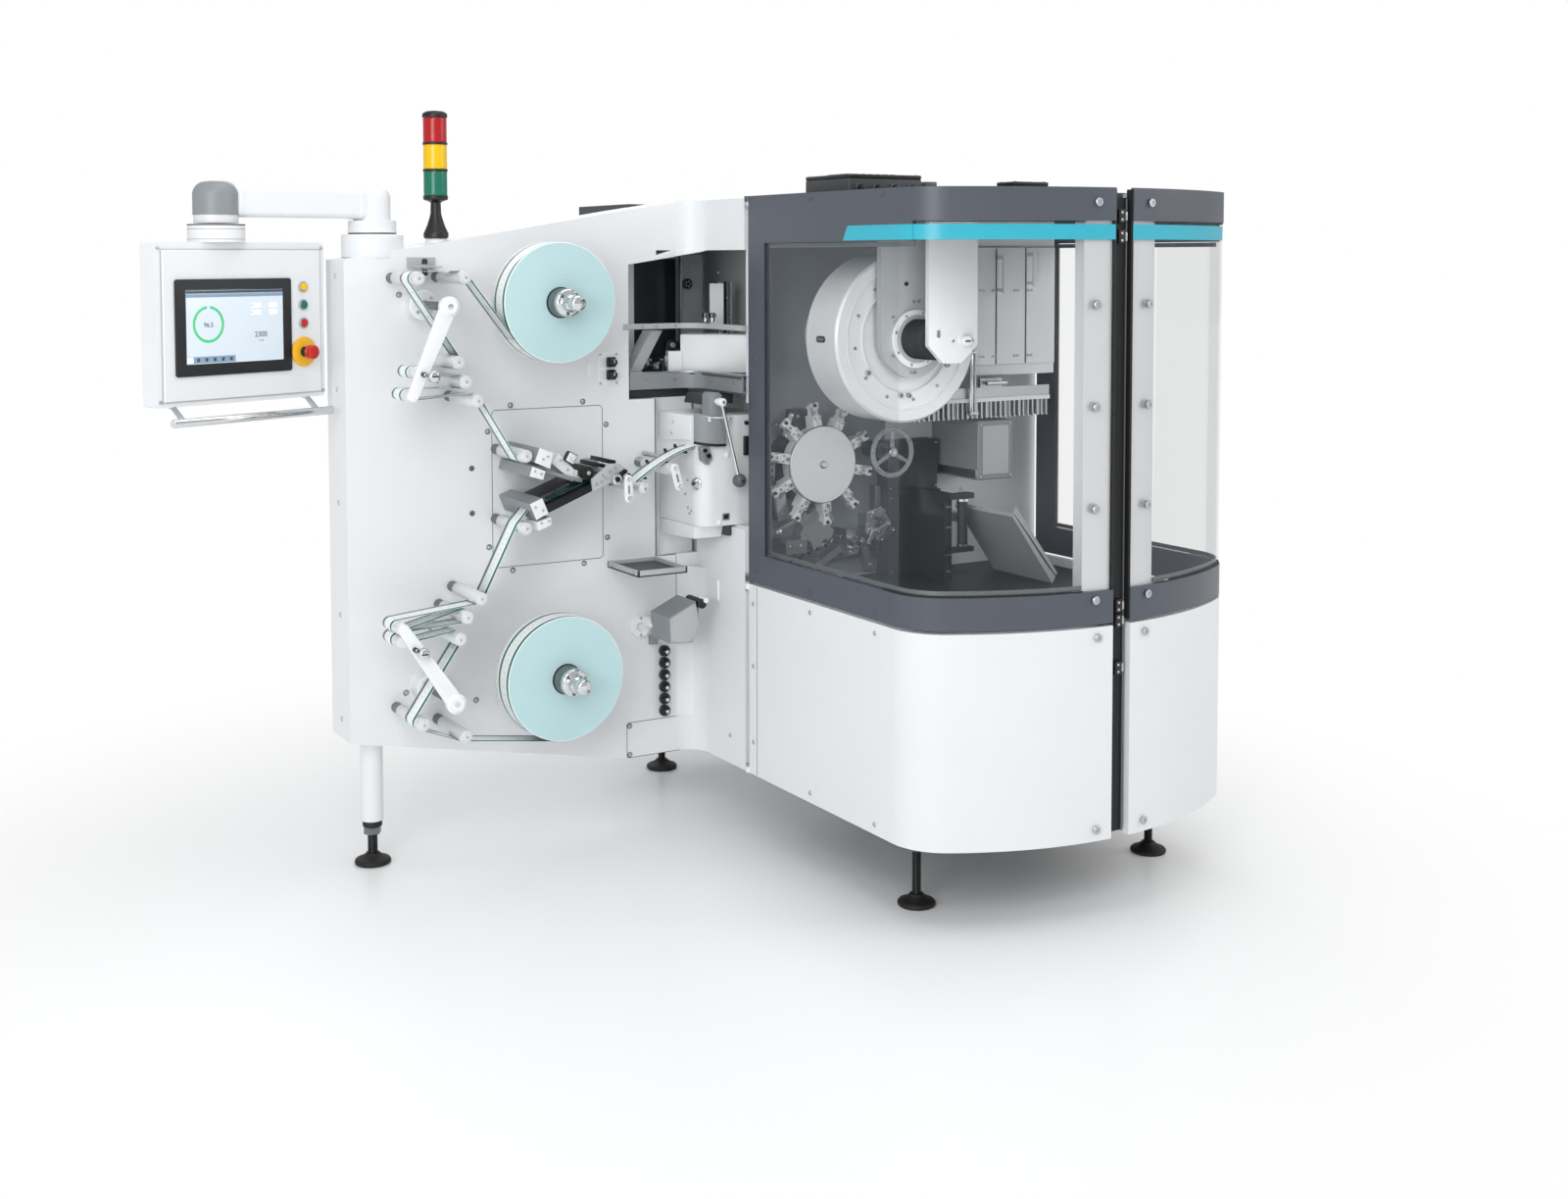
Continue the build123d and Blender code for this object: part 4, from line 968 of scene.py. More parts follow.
def control_panel():
    """The operator's panel: bezel and screen with a made-up display, and its numbers as flat shapes."""
    middle, dial_x = -34, -118  # places across the panel
    bezel = Piece("screen_bezel", "control_panel", "black_plastic", [black_abs, screen_glass])
    panel_slab(bezel, rounded(360, 246, 7), (middle, 1513), -12, -6, 1.5, 0)
    panel_slab(bezel, rounded(306, 192, 3), (middle, 1514), -12.6, -10, 0.4, 1)
    bezel.make("panel_screen")
    screen = Piece(
        "screen_display", "control_panel", "screen_glass",
        [display_pale, display_blue, display_green, display_white, display_dark],
    )
    panel_slab(screen, rounded(300, 186, 1.5), (middle, 1514), -12.9, -12.5, 0.05, 0)

    def field(x, z, width, height, kind, depth=-13.1):
        """A flat field of the display."""
        panel_slab(screen, rounded(width, height, 1.0, 3), (x, z), depth, depth + 0.25, 0.05, kind)

    field(middle, 1603, 300, 7, 4)
    field(middle, 1594, 300, 9, 1)
    field(-110, 1431, 146, 17, 1)
    field(-174, 1431, 18, 14, 3, -13.3)
    for k in range(5):
        field(-150 + 25 * k, 1431, 9, 9, 4, -13.3)
    for z in (1566, 1548):
        field(30, z, 30, 12, 3)
        field(18, z, 4, 4, 4, -13.3)
        field(84, z, 26, 12, 3)
    turn = np.radians(np.linspace(84, -264, 90))
    ring = np.concatenate((
        47 * unit(turn),
        40 * unit(turn)[::-1],
    ))
    screen.add(slab(ring, -13.5, -13.2, 0.05), panel_place(dial_x, 1521), PANEL, 2)
    screen.make()
    for text, x, z, size in (("96.5", dial_x, 1519, 17), ("2300", 44, 1490, 20), ("1 / 4", 44, 1474, 8)):
        letters = bpy.data.curves.new("display_number", "FONT")
        letters.body = text
        letters.size = size / 1000
        letters.align_x = letters.align_y = "CENTER"
        letters.extrude = 0.0001
        shown = bpy.data.objects.new(
            "display_number_" + text.translate({32: None, 46: None, 47: None}), letters,
        )
        flat = bpy.data.meshes.new_from_object(shown)
        points = np.array([vertex.co for vertex in flat.vertices]) * (1000, 1000, -1000)
        number = Piece(shown.name, "control_panel", "screen_glass", [display_dark])
        number.add(
            (points, [list(face.vertices)[::-1] for face in flat.polygons], []), panel_place(x, z, -13.5),
            PANEL,
        )
        bpy.data.objects.remove(shown)
        number.make()


def panel_buttons():
    """Three lit push buttons in chrome rings, and the red stop button on its yellow plate."""
    row, stop_z = 187, 1438
    piece = Piece(
        "panel_push_buttons", "control_panel", "button_plastic",
        [satin_steel, yellow_lens, red_abs, green_lens, yellow_abs, black_abs],
    )
    for z, kind in ((1612, 1), (1564, 3), (1515, 2)):
        ring = ((10.5, -10), (11, -13), (13, -13), (14.5, -11), (14.5, -8), (13, -6))
        piece.add(turned(ring, 40), panel_place(row, z), PANEL, 0)
        cap = ((4, -16.8), (9, -16), (10, -14.5), (10, -9))
        piece.add(turned(cap, 32), panel_place(row, z), PANEL, kind)
    plate = ((14, -12), (38, -12), (40, -10.5), (40, -7.5), (38, -6))
    piece.add(turned(plate, 64), panel_place(row, stop_z), PANEL, 4)
    neck = ((13, -34), (14, -30), (14, -12))
    piece.add(turned(neck, 40), panel_place(row, stop_z), PANEL, 5)
    ribs = [(17.5 + 0.9 * (k % 2), -33 - 1.2 * k) for k in range(8)]
    stop = [(9, -54), (15, -53), (18.4, -50), (19, -46)] + ribs[::-1] + [(13, -32)]
    piece.add(turned(stop, 48), panel_place(row, stop_z), PANEL, 2)
    piece.make("panel_buttons")


def panel_handle():
    """A ground steel bar on two bent brackets under the panel."""
    piece = Piece("panel_grip_bar", "control_panel", "chrome", [chrome, satin_steel])
    ends = [panel_place(x, 1278, -42) for x in (-250, -248, 252, 254)]
    piece.tube(ends, (9.5, 11, 11, 9.5), 0, 28)
    for x in (-215, 205):
        side = ((-44, 1273), (-44, 1284), (4, 1320), (20, 1320), (20, 1312), (8, 1310), (-36, 1275))
        turned_side = np.array((PANEL_Y, Z, PANEL_X))
        piece.add(slab(side, x - 5, x + 5, 1.2), PANEL_AT, turned_side, 1)
    piece.make("panel_handle")


def panel_shell_details():
    """The shadow gap round the panel's front, hinge screws and the swivel's rings."""
    piece = Piece(
        "panel_shell_fittings", "control_panel", "steel",
        [satin_steel, black_rubber, powder_pale_grey, powder_white_gloss],
    )
    for x, z in ((-255, 1330), (-255, 1715), (256, 1330), (256, 1715)):
        piece.add(turned(((2.5, -3), (4.5, -2.6), (5, 0.5)), 14), panel_place(x, z), PANEL, 0)
    panel_slab(piece, rounded(499, 386, 3, 4), (1.0, 1519.5), -2.5, -0.5, 0.3, 2)
    for low, high, radius, kind in ((1736, 1739, 72.6, 2), (1762, 1765, 72.6, 2), (1772, 1776, 72.4, 1)):
        ring = ((radius - 1, low), (radius, low + 1), (radius, high - 1), (radius - 1, high))
        piece.add(turned(ring, 64), PIVOT, ABOVE, kind)
    piece.make()


def arm_details():
    """The arm's seams and covers: the line at its turning ring, two end covers, and a cable clip."""
    piece = Piece(
        "swing_arm_fittings", "swing_arm", "black_plastic", [black_abs, powder_white_gloss, satin_steel],
    )
    base = np.array((107.0, 80.0, 0.0))
    ring = ((63, 1757), (66, 1758), (66, 1762), (65.4, 1764))
    piece.add(turned(ring, 64), base, ABOVE, 1)
    piece.add(turned(((62, 1753.6), (65.6, 1754), (65.6, 1756.6), (62, 1757)), 64), base, ABOVE, 0)
    along = (PIVOT - base) / np.linalg.norm(PIVOT - base)
    across = np.array((along[1], -along[0], 0.0))
    arm_axes = np.array((across, Z, along))
    centre_line = base + (0, 0, 1836)
    for reach in (52.325, 402.675):
        piece.add(slab(rounded(79, 84, 15), -4, 4, 1.5), centre_line + along * reach, arm_axes, 1)
    clip = centre_line + along * 398 + across * 39
    piece.add(slab(rounded(16, 40, 4), -7, 7, 2), clip, arm_axes, 0)
    piece.add(slab(rounded(26, 12, 3), -14, 6, 2), clip + (0, 0, 12), arm_axes, 0)
    piece.make()


stack_lamp()
control_panel()
panel_buttons()
panel_handle()
panel_shell_details()
arm_details()


# Behind the guard

DRUM = np.array((1365.0, 0.0, 1465.0))
HEAD = np.array((1272.0, 0.0, 1094.0))


def drum_details():
    """The drum's ring of screws, its slots on the rim and its two clamping studs, which turn with it."""
    face, middle = -675, -605  # the depths of the drum's front face and of its rim's middle
    piece = Piece("drum_fittings", "drum", "steel", [satin_steel, black_steel, bright_white])
    for turn in range(0, 360, 30):
        piece.screw(*round_place(DRUM, 171, turn + 8)[::2], face, 5, 0, 4)
    for turn in (215, 262, 272, 330, 340):
        piece.screw(*round_place(DRUM, 158, turn)[::2], face, 7, 0, 12)
    for low, high in ((195, 199), (146, 148.5)):
        groove = (
            (low, -680.2), (low + 0.6, -681), (high - 0.6, -681), (high, -680.2), (high, face), (low, face),
        )
        piece.add(turned(groove, 96, hollow=True), DRUM, FRONT, 2)
    for turn in (0, 90, 180, 270):
        at = round_place(DRUM, 233, turn)
        axes = axes_towards((cos(radians(turn)), 0, sin(radians(turn))), (0, 1, 0))
        slot = link_outline((0, -14), (0, 14), 9, 9)
        piece.add(slab(slot, -2, 0.6, 0.5), (at[0], middle, at[2]), axes, 1)
        for shift in (-10, 0, 10):
            piece.add(
                turned(((1.6, 0.4), (3.6, 0.6), (3.6, 2.0), (2.8, 2.6)), 12), (at[0], middle + shift, at[2]),
                axes, 0,
            )
    for depth in (-668, -542):
        band = ((232.8, depth - 2), (233.4, depth - 1.4), (233.4, depth + 1.4), (232.8, depth + 2))
        piece.add(turned(band, 128), DRUM, FRONT, 2)
    piece.make()


def carrier_details():
    """Screws and holes of the plate in front of the drum, its hub's rim and the hood's locking knob."""
    plate, hub_face, knob_x, knob_z = -712, -728, 1444, 1462
    piece = Piece(
        "carrier_fittings", "machine", "steel",
        [satin_steel, black_steel, chrome, powder_white, black_rubber],
    )
    x, _, z = DRUM
    hub = ((66, hub_face), (78, hub_face), (80, -726), (80, plate), (66, plate))
    piece.add(turned(hub, 72, hollow=True), DRUM, FRONT, 3)
    for turn in (30, 75, 120, 165, 210, 255, 300, 345):
        piece.screw(*round_place(DRUM, 72, turn)[::2], hub_face, 3.6, 0, 2)
    for dx, dz, radius in (
        (-26, 150, 6), (0, 102, 5), (17, 102, 5), (-9, -92, 4), (4, -92, 5), (-70, 60, 4), (-70, -45, 4),
    ):
        piece.screw(x + dx, z + dz, plate, radius, 1 if radius == 6 else 0, 4)
    ribs = [(50 + 4.5 * (k % 2), -814 + 88 * k / 26) for k in range(27)]
    piece.add(turned(ribs, 64, open_ends=True), DRUM, FRONT, 4)
    knob = ((4, -851), (9, -852), (14, -851), (15, -849), (15, -834), (12, -832), (12, -830))
    piece.lathe(knob, knob_x, knob_z, 2)
    piece.box(1435, 1453, -853, -850, 1460, 1464, 0.4, kind=1)
    for dx in (-34, 30):
        piece.screw(knob_x + dx, knob_z, -830, 4, 0, 3)
    piece.add(slab(link_outline((0, -5), (0, 5), 6, 6), -831.5, -829, 0.4), (1362, 0, 1482), FRONT, 0)
    piece.make()


def cabinet_details():
    """Hinges, seams, bow handles' feet and the guide rods of the feed cupboard."""
    door, rail, handle = -480, -521.5, -534  # depths
    piece = Piece(
        "feed_cabinet_fittings", "machine", "steel", [satin_steel, chrome, powder_white, black_rubber],
    )
    for x in (1772, 1818, 1900, 1952):
        for z in (1587, 1392):
            piece.screw(x, z, door, 4, 0, 3)
            piece.screw(x + 12, z, door, 4, 0, 3)
    for x in (1831, 1943):
        piece.box(x - 1, x + 1, -480.6, -479, 1370, 1712, 0.3, kind=3)
    piece.tube([(1698, handle, z) for z in (1232, 1236, 1402, 1406)], (4, 6, 6, 4), 1, 20)
    piece.tube([(1712, handle, z) for z in (1232, 1236, 1402, 1406)], (3, 4, 4, 3), 0, 16)
    piece.box(1690, 1722, -530, -500, 1400, 1412, 1.5)
    piece.box(1690, 1722, -540, -500, 1226, 1236, 1.5)
    for k in range(30):
        x = 1482 + k * 17.4
        piece.box(x - 3, x + 3, -526, rail, 1219, 1270, 1)
        piece.box(x - 2, x + 2, -528, rail, 1214, 1222, 0.6, kind=1)
    piece.box(1472, 1998, -529, rail, 1262, 1274, 1.5, kind=2)
    piece.box(1735, 1862, -470, -466, 1335, 1337, 0.5, kind=3)
    piece.make()


def head_details():
    """The cover's centre screw and, on each gripper, a pivot, a spring post and a clamp screw."""
    cover = -400  # the depth of the head's cover
    piece = Piece("head_fittings", "head", "steel", [satin_steel, chrome, black_steel, bright_white])
    piece.screw(*HEAD[::2], cover, 7, 1, 7)
    piece.add(turned(((9, -402), (12, -401.6), (12.5, cover)), 24), HEAD, FRONT, 0)
    rim = ((109.5, -400.6), (111, cover), (112.2, -398), (112.2, -392), (111, -390))
    piece.add(turned(rim, 96, open_ends=True), HEAD, FRONT, 0)
    for place in range(10):
        turn = -10.5 + 36 * place
        across = np.array((-sin(radians(turn)), 0, cos(radians(turn))))
        for radius, side, size, height in (
            (122, 0, 6.0, 9), (134, 8, 3.0, 5), (134, -8, 3.0, 5), (150, 0, 4.2, 4),
        ):
            at = round_place(HEAD, radius, turn) + side * across
            piece.screw(*at[::2], -394 if radius < 140 else -386, size, 1 if radius == 122 else 0, height)
        inner, outer = round_place(HEAD, 143, turn + 4.5), round_place(HEAD, 168, turn + 4.5)
        springs = []
        for k in range(49):
            share = k / 48
            middle = inner * (1 - share) + outer * share
            wind = 2 * pi * 8 * share
            springs.append(middle + 3.2 * (cos(wind) * across + sin(wind) * Y) + (0, -391, 0))
        piece.tube(springs, 0.8, 0, 6)
        tip = round_place(HEAD, 171, turn)
        piece.lathe(((2, -393), (4.5, -392.5), (5, -391), (5, -387)), tip[0], tip[2], 2, 14)
    piece.make()


def station_details():
    """Screws, levers and cam followers on the fixed tools round the head."""
    piece = Piece(
        "station_fittings", "machine", "steel",
        [satin_steel, chrome, black_steel, dark_anodised, bright_white, powder_mid_grey],
    )
    piece.front(rounded(468, 1096, 4, centre=(1326, 1293)), -293, -289.6, 1, kind=5)
    for x, z, depth, radius in (
        (1180, 860, -372, 5), (1215, 860, -372, 5), (1462, 925, -372, 6), (1500, 940, -372, 6),
        (1512, 900, -372, 6), (1484, 872, -372, 6), (1450, 900, -372, 6), (1385, 880, -366, 5),
        (1400, 850, -366, 5), (1390, 826, -366, 5), (1168, 1000, -336, 5), (1178, 950, -336, 5),
        (1210, 1080, -334, 5), (1225, 1230, -334, 5), (1280, 1225, -334, 5), (1288, 1190, -334, 5),
        (1300, 790, -330, 5), (1400, 845, -330, 5), (1460, 835, -330, 5), (1484, 775, -330, 5),
    ):
        piece.screw(x, z, depth, radius, 0, 5)
    for start, end, low, high, wide, kind in (
        ((1470, 935), (1502, 905), -388, -380, 9, 3), ((1502, 905), (1465, 886), -396, -389, 8, 0),
        ((1390, 868), (1396, 838), -380, -372, 9, 3), ((1465, 886), (1440, 850), -384, -376, 8, 0),
        ((1180, 1180), (1200, 1235), -342, -335, 9, 0), ((1150, 1210), (1190, 1190), -338, -331, 8, 3),
        ((1540, 880), (1500, 855), -362, -354, 10, 3), ((1150, 900), (1205, 925), -345, -337, 9, 0),
    ):
        piece.front(link_outline(start, end, wide, wide * 0.75), low, high, 1.2, kind=kind)
        for end_place in (start, end):
            piece.screw(end_place[0], end_place[1], low, wide * 0.5, 1, 4)
    for x, z, radius in (
        (1500, 855, 13), (1540, 880, 11), (1440, 850, 10), (1150, 900, 10), (1180, 1180, 11),
    ):
        roller = (
            (radius - 3, -360), (radius, -358), (radius, -346), (radius - 3, -344), (4, -344), (4, -300),
        )
        piece.lathe(roller, x, z, 1, 28)
    for k in range(7):
        x, z = 1196 + 30 * k, 812 + 9 * k
        piece.rod(x, z, -340, -300, 8)
        piece.rod(x, z, -346, -339, 5, kind=2)
    piece.box(1130, 1560, -318, -300, 800, 812, 2, kind=3)
    piece.box(1500, 1520, -330, -300, 812, 1010, 2, kind=3)
    piece.box(1134, 1150, -318, -296, 812, 1010, 2)
    piece.make()


def hand_wheel_detail():
    """The crank wheel of clear plastic: a rounded rim, three tapered spokes and a steel hub."""
    x, z = 1498, 1118
    piece = Piece("crank_wheel_rim", "crank_wheel", "clear_plastic", [acrylic, satin_steel, chrome])
    turn = np.linspace(0, 2 * pi, 24, endpoint=False)
    rim = np.column_stack((68 + 6.8 * np.cos(turn), -420 + 6.8 * np.sin(turn)))
    piece.lathe(rim, x, z, 0, 72, hollow=True)
    for angle in (90, 210, 330):
        end = (x + 62 * cos(radians(angle)), z + 62 * sin(radians(angle)))
        piece.front(link_outline((x, z), end, 6.5, 4.5), -424, -416, 2)
    hub = ((4, -428), (12, -428), (14, -426), (14, -412), (11, -409), (9, -400), (9, -345))
    piece.lathe(hub, x, z, 1)
    piece.screw(x, z, -428, 5, 2, 3)
    piece.make("hand_wheel")


def lower_details():
    """The outfeed roller's cage, seams and screws of the housings, and the chute's rolled edges."""
    piece = Piece(
        "lower_housing_fittings", "machine", "steel",
        [satin_steel, chrome, black_rubber, powder_pale_grey, powder_dark],
    )
    for z in (848, 980):
        ring = ((10, z - 5), (17, z - 4), (17, z + 3), (10, z + 4))
        piece.column(ring, 1668, -534, 1, 28)
    for x in (1622, 1632):
        for z in (770, 820, 900, 960):
            piece.screw(x, z, -520, 3.5, 0, 3)
    for x0, x1, z0, z1 in ((1540, 1706, 1000, 1130), (1540, 1700, 752, 972)):
        for x in (x0, x1):
            for z in (z0, z1):
                piece.screw(x, z, -350 if z0 > 900 else -354, 4, 0, 3)
    piece.box(1528, 1720, -356.5, -350, 978, 990, 1.5, kind=4)
    rail = [(1730, -693, 955), (1790, -694, 880), (1850, -694, 802), (1884, -693, 762)]
    piece.tube(smooth_path(rail, 6), 4, 1, 10)
    piece.box(1752, 1848, -521.5, -519, 1046, 1190, 0.8, kind=3)
    for x in (1744, 1853):
        for z in (1040, 1195):
            piece.screw(x, z, -520, 4, 0, 3)
    piece.box(1731, 1742, -515, -300, 1036, 1060, 2)
    piece.make()


drum_details()
carrier_details()
cabinet_details()
head_details()
station_details()
hand_wheel_detail()
lower_details()


# Splicer, gear box and access chamber


SPLICER_LOOP = [(623, 1075), (676, 1115), (709, 1113), (727, 1095), (709, 1069), (676, 1060), (623, 1040)]


def splicer_boxes():
    """The splicer's sheet boxes, its two white jaws, the slotted link arms and their pins."""
    piece = Piece(
        "splicer_sheet_boxes", "machine", "light_grey_paint",
        [powder_mid_grey, powder_white, satin_steel, black_abs, powder_white_gloss, chrome],
    )
    for outline, depth in (
        ([(467, 1171), (507, 1155), (496, 1112), (452, 1132)], 228),
        ([(445, 1122), (483, 1107), (476, 1083), (437, 1095)], 228),
        ([(437, 1019), (473, 1033), (491, 990), (455, 975)], 228),
    ):
        piece.front(outline, -depth + 3, 0, 3, 0)
        piece.front(outline, -depth, -depth + 4, 1, 1)
    piece.front([(457, 968), (499, 979), (501, 957), (463, 944)], -226, -150, 2, 1)
    piece.front([(499, 1106), (612, 1072), (609, 1062), (496, 1096)], -190, -150, 2, 0)
    piece.front([(521, 1122), (546, 1146), (592, 1100), (587, 1066)], -180, 0, 3, 1)
    piece.front([(590, 1100), (640, 1085), (632, 1068), (588, 1072)], -175, -40, 3, 1)
    x, z = 575, 1134
    tilt = [[0.87, -0.5], [0.5, 0.87]]
    piece.front(rounded(30, 30, 3) @ tilt + (x, z), -196, -176, 2, 3)
    piece.front(rounded(25, 25, 2) @ tilt + (x, z), -198, -194, 1, 1)
    piece.rod(x, z, -208, -196, 7, kind=5)
    for x, z, depth in (
        (476, 1140, 229), (490, 1146, 229), (452, 1108, 229), (470, 1100, 229), (452, 1010, 229),
        (474, 1000, 229), (470, 965, 227), (492, 969, 227), (548, 1128, 181), (570, 1100, 181),
        (603, 1083, 176), (622, 1078, 176),
    ):
        piece.screw(x, z, -depth, 3.2, 2, 2)
    for start, end in (((728, 1070), (730, 1017)), ((875, 1092), (889, 1039))):
        start, end = np.array(start, float), np.array(end, float)
        piece.front(link_outline(start, end, 12.5, 12.5), -242, -233, 1.5, kind=4)
        slot = [start * (1 - t) + end * t for t in (0.38, 0.72)]
        piece.front(link_outline(slot[0], slot[1], 3.4, 3.4), -242.4, -240, 0.3)
        for x, z in (start, end):
            piece.screw(x, z, -242, 6, 5, 5)
        piece.rod(*start, -233, 0, 8, kind=2)
    piece.make("splicer_covers")


def splicer_bed():
    """The black film tray with its flanges, the head plate with its screws, and the knurled roller."""
    plate, nut_x, nut_z, roller_x, roller_z = -229, 691, 1073, 620, 1091
    piece = Piece(
        "splicer_film_bed", "machine", "black_metal",
        [black_steel, powder_pale_grey, satin_steel, black_rubber, chrome, dark_anodised],
    )
    floor = [(452, 985), (640, 1056), (636, 1066), (448, 995)]
    piece.front(floor, -222, 0, 1.5, 0)
    for low, high in ((-225, -208), (-112, -98)):
        piece.front([(470, 982), (712, 1076), (709, 1083), (623, 1053), (462, 1003)], low, high, 1.5, 0)
    piece.front(SPLICER_LOOP, plate, -216, 2, 1)
    piece.front(SPLICER_LOOP, -62, -50, 2, 1)
    piece.front([(676, 1060), (709, 1069), (716, 1082), (700, 1090), (676, 1084)], -216, -62, 3, 5)
    for x, z, radius in (
        (635, 1062, 4), (651, 1067, 4), (664, 1076, 4), (655, 1085, 4), (676, 1094, 5), (692, 1104, 4),
        (716, 1095, 6),
    ):
        piece.screw(x, z, plate, radius, 2, 2.5)
    hub = ((8, -251), (11, -252), (15, -250), (16, -246), (16, -238), (13, -236), (13, plate))
    piece.lathe(hub, nut_x, nut_z, 4, 36)
    piece.lathe(((4, -252.6), (7.5, -252.4), (7.5, -250)), nut_x, nut_z, 0, 20)
    piece.front(link_outline((nut_x, nut_z), (722, 1092), 8, 6), -236, plate, 1)
    ribs = [(17.2 + 0.9 * (k % 2), -206 + 140 * k / 44) for k in range(45)]
    piece.lathe(ribs, roller_x, roller_z, 3)
    piece.rod(roller_x, roller_z, -214, -50, 6, kind=2)
    for x, z in ((694, 1118), (662, 1109)):
        piece.front(np.array(((-14, -4), (12, -8), (14, 2), (-12, 8))) + (x, z), -205, -90, 2, 0)
    piece.make("splicer_frame")


GUIDE_LINE = smooth_path(
    [(772, 1035), (777, 1050), (792, 1063), (838, 1092), (882, 1115), (924, 1133), (968, 1144)], 8,
)


def guide_bar():
    """The curved film guide: a thin bent strip under the film with black clips along its back edge."""
    piece = Piece("film_guide_strip", "machine", "steel", [satin_steel, black_abs, powder_white])
    line = GUIDE_LINE[10:]
    ahead = np.gradient(line, axis=0)
    ahead /= np.linalg.norm(ahead, axis=1)[:, None]
    down = np.column_stack((ahead[:, 1], -ahead[:, 0]))
    piece.front(np.concatenate((line + 1.2 * down, (line + 5 * down)[::-1])), -191, -127, 0.8)
    piece.front(np.concatenate((line + 5 * down, (line + 13 * down)[::-1])), -176, -142, 1, 2)
    for k in (6, 16, 27, 33):
        across = (line[k] + 3 * down[k], line[k] - 6 * down[k])
        piece.front(link_outline(*across, 4.5, 3), -124, -114, 1, kind=1)
    for k in (8, 20, 32):
        piece.rod(*(line[k] + 8 * down[k]), -196, -142, 3.4, kind=1, steps=16)
    piece.rod(*(line[24] + 10 * down[24]), -142, 0, 7)
    piece.make("film_guide")


GEAR_CORNER = np.array((1010.0, -180.0))


def around_corner(radius, first, last, steps=9):
    """Places on the floor plan round the gear box's rounded corner."""
    turn = np.radians(np.linspace(first, last, steps))
    return GEAR_CORNER + radius * unit(turn)


def gear_box():
    """The white gear box with its side plate, dark shield, clamp hub, latch and the pocket under it."""
    side = 965
    piece = Piece(
        "gear_box_cover", "machine", "white_paint",
        [
            powder_white, powder_white_gloss, powder_dark, black_rubber, satin_steel, chrome, black_abs,
            powder_mid_grey,
        ],
    )
    plan = np.concatenate(
        (((side, 30), (side, -170)), around_corner(45, 180, 270), ((1190, -225), (1190, 30)))
    )
    piece.level(plan, 912, 1232, 2.5)
    plate = [(28, 1230), (28, 1166), (25, 1156), (17, 1149), (8, 1147), (-168, 1160), (-168, 1230)]
    piece.add(slab(plate, 961.5, 966, 1.5), axes=SIDE, kind=1)
    for depth, z in ((-66, 1206), (-56, 1172)):
        piece.add(turned(((2, 1.5), (4, 1.2), (4, 0)), 14), (961.5, depth, z), LEFT, 4)
    shield = np.concatenate((around_corner(62, 205, 270, 14), ((1026, -242), (1042, -240))))
    share = np.linspace(0, 1, len(shield))
    piece.bend(shield, 5, 1160 - 9 * share, 1240 - 16 * share, kind=7)
    piece.bend(shield, 9, 1153 - 9 * share, 1162 - 9 * share, kind=3)
    piece.add(slab(rounded(26, 60, 4), -238, -226, 2), (1024, 0, 1195), FRONT, 7)
    piece.box(985, 1063, -240, -224, 1218, 1231, 2)
    for x in (992, 1004, 1044, 1056):
        piece.screw(x, 1225, -240, 3, 4, 2)
    wedge = [(989, 1146), (1000, 1110), (984, 1093), (966, 1108), (962, 1146)]
    piece.front(wedge, -236, -214, 2, 7)
    for x, z, radius in ((974, 1136, 6), (986, 1120, 7), (976, 1108, 4), (968, 1124, 4)):
        piece.screw(x, z, -236, radius, 6 if radius > 5 else 4, 6)
    turn = radians(201)
    facing = np.array((cos(turn), sin(turn), 0))
    place = (*(GEAR_CORNER + 45 * facing[:2]), 1037)
    collar = ((18, 0), (18, 3), (15, 5), (14, 8), (11, 12), (6, 13))
    piece.add(turned(collar, 32), place, axes_towards(facing), 5)
    piece.add(turned(((5, 12), (5, 15), (3, 16)), 18), place, axes_towards(facing), 6)
    for depth, z in ((-150, 1042), (-135, 1000), (-150, 962), (-172, 955), (-160, 946)):
        piece.add(turned(((4, 0), (4, 2), (2.5, 3)), 14), (side, depth, z), LEFT, 4)
    for x, z, radius in ((1054, 1118, 9), (1028, 923, 7)):
        cap = ((radius * 0.3, -229), (radius * 0.8, -228), (radius, -226), (radius, -224))
        piece.lathe(cap, x, z, 1, 24)
    piece.box(1036, 1060, -227, -224, 928, 948, 1, kind=4)
    piece.box(1041, 1055, -228, -226, 932, 944, 0.8, kind=6)
    piece.box(1107, 1131, -238, -224, 1114, 1170, 2, kind=6)
    piece.rod(1128, 1122, -246, -236, 7, kind=6)
    piece.rod(1116, 1208, -233, -224, 6, kind=6)
    funnel = [(-190, 911), (29, 911), (29, 862), (-178, 874)]
    piece.add(slab(funnel, 967, 1060, 2), axes=SIDE, kind=1)
    piece.box(1060, 1074, -214, 20, 880, 911, 1, kind=2)
    bracket = [(996, 1232), (1032, 1232), (1032, 1292), (1024, 1300), (1002, 1300), (996, 1292)]
    piece.front(bracket, -235, -180, 2, 7)
    piece.front([(1000, 1262), (1100, 1262), (1100, 1290), (1010, 1290)], -180, -60, 2, 2)
    for x, depth in ((1040, -150), (1075, -110)):
        piece.rod(x, 1276, depth - 30, depth, 9, kind=4)
    piece.make("gear_housing")


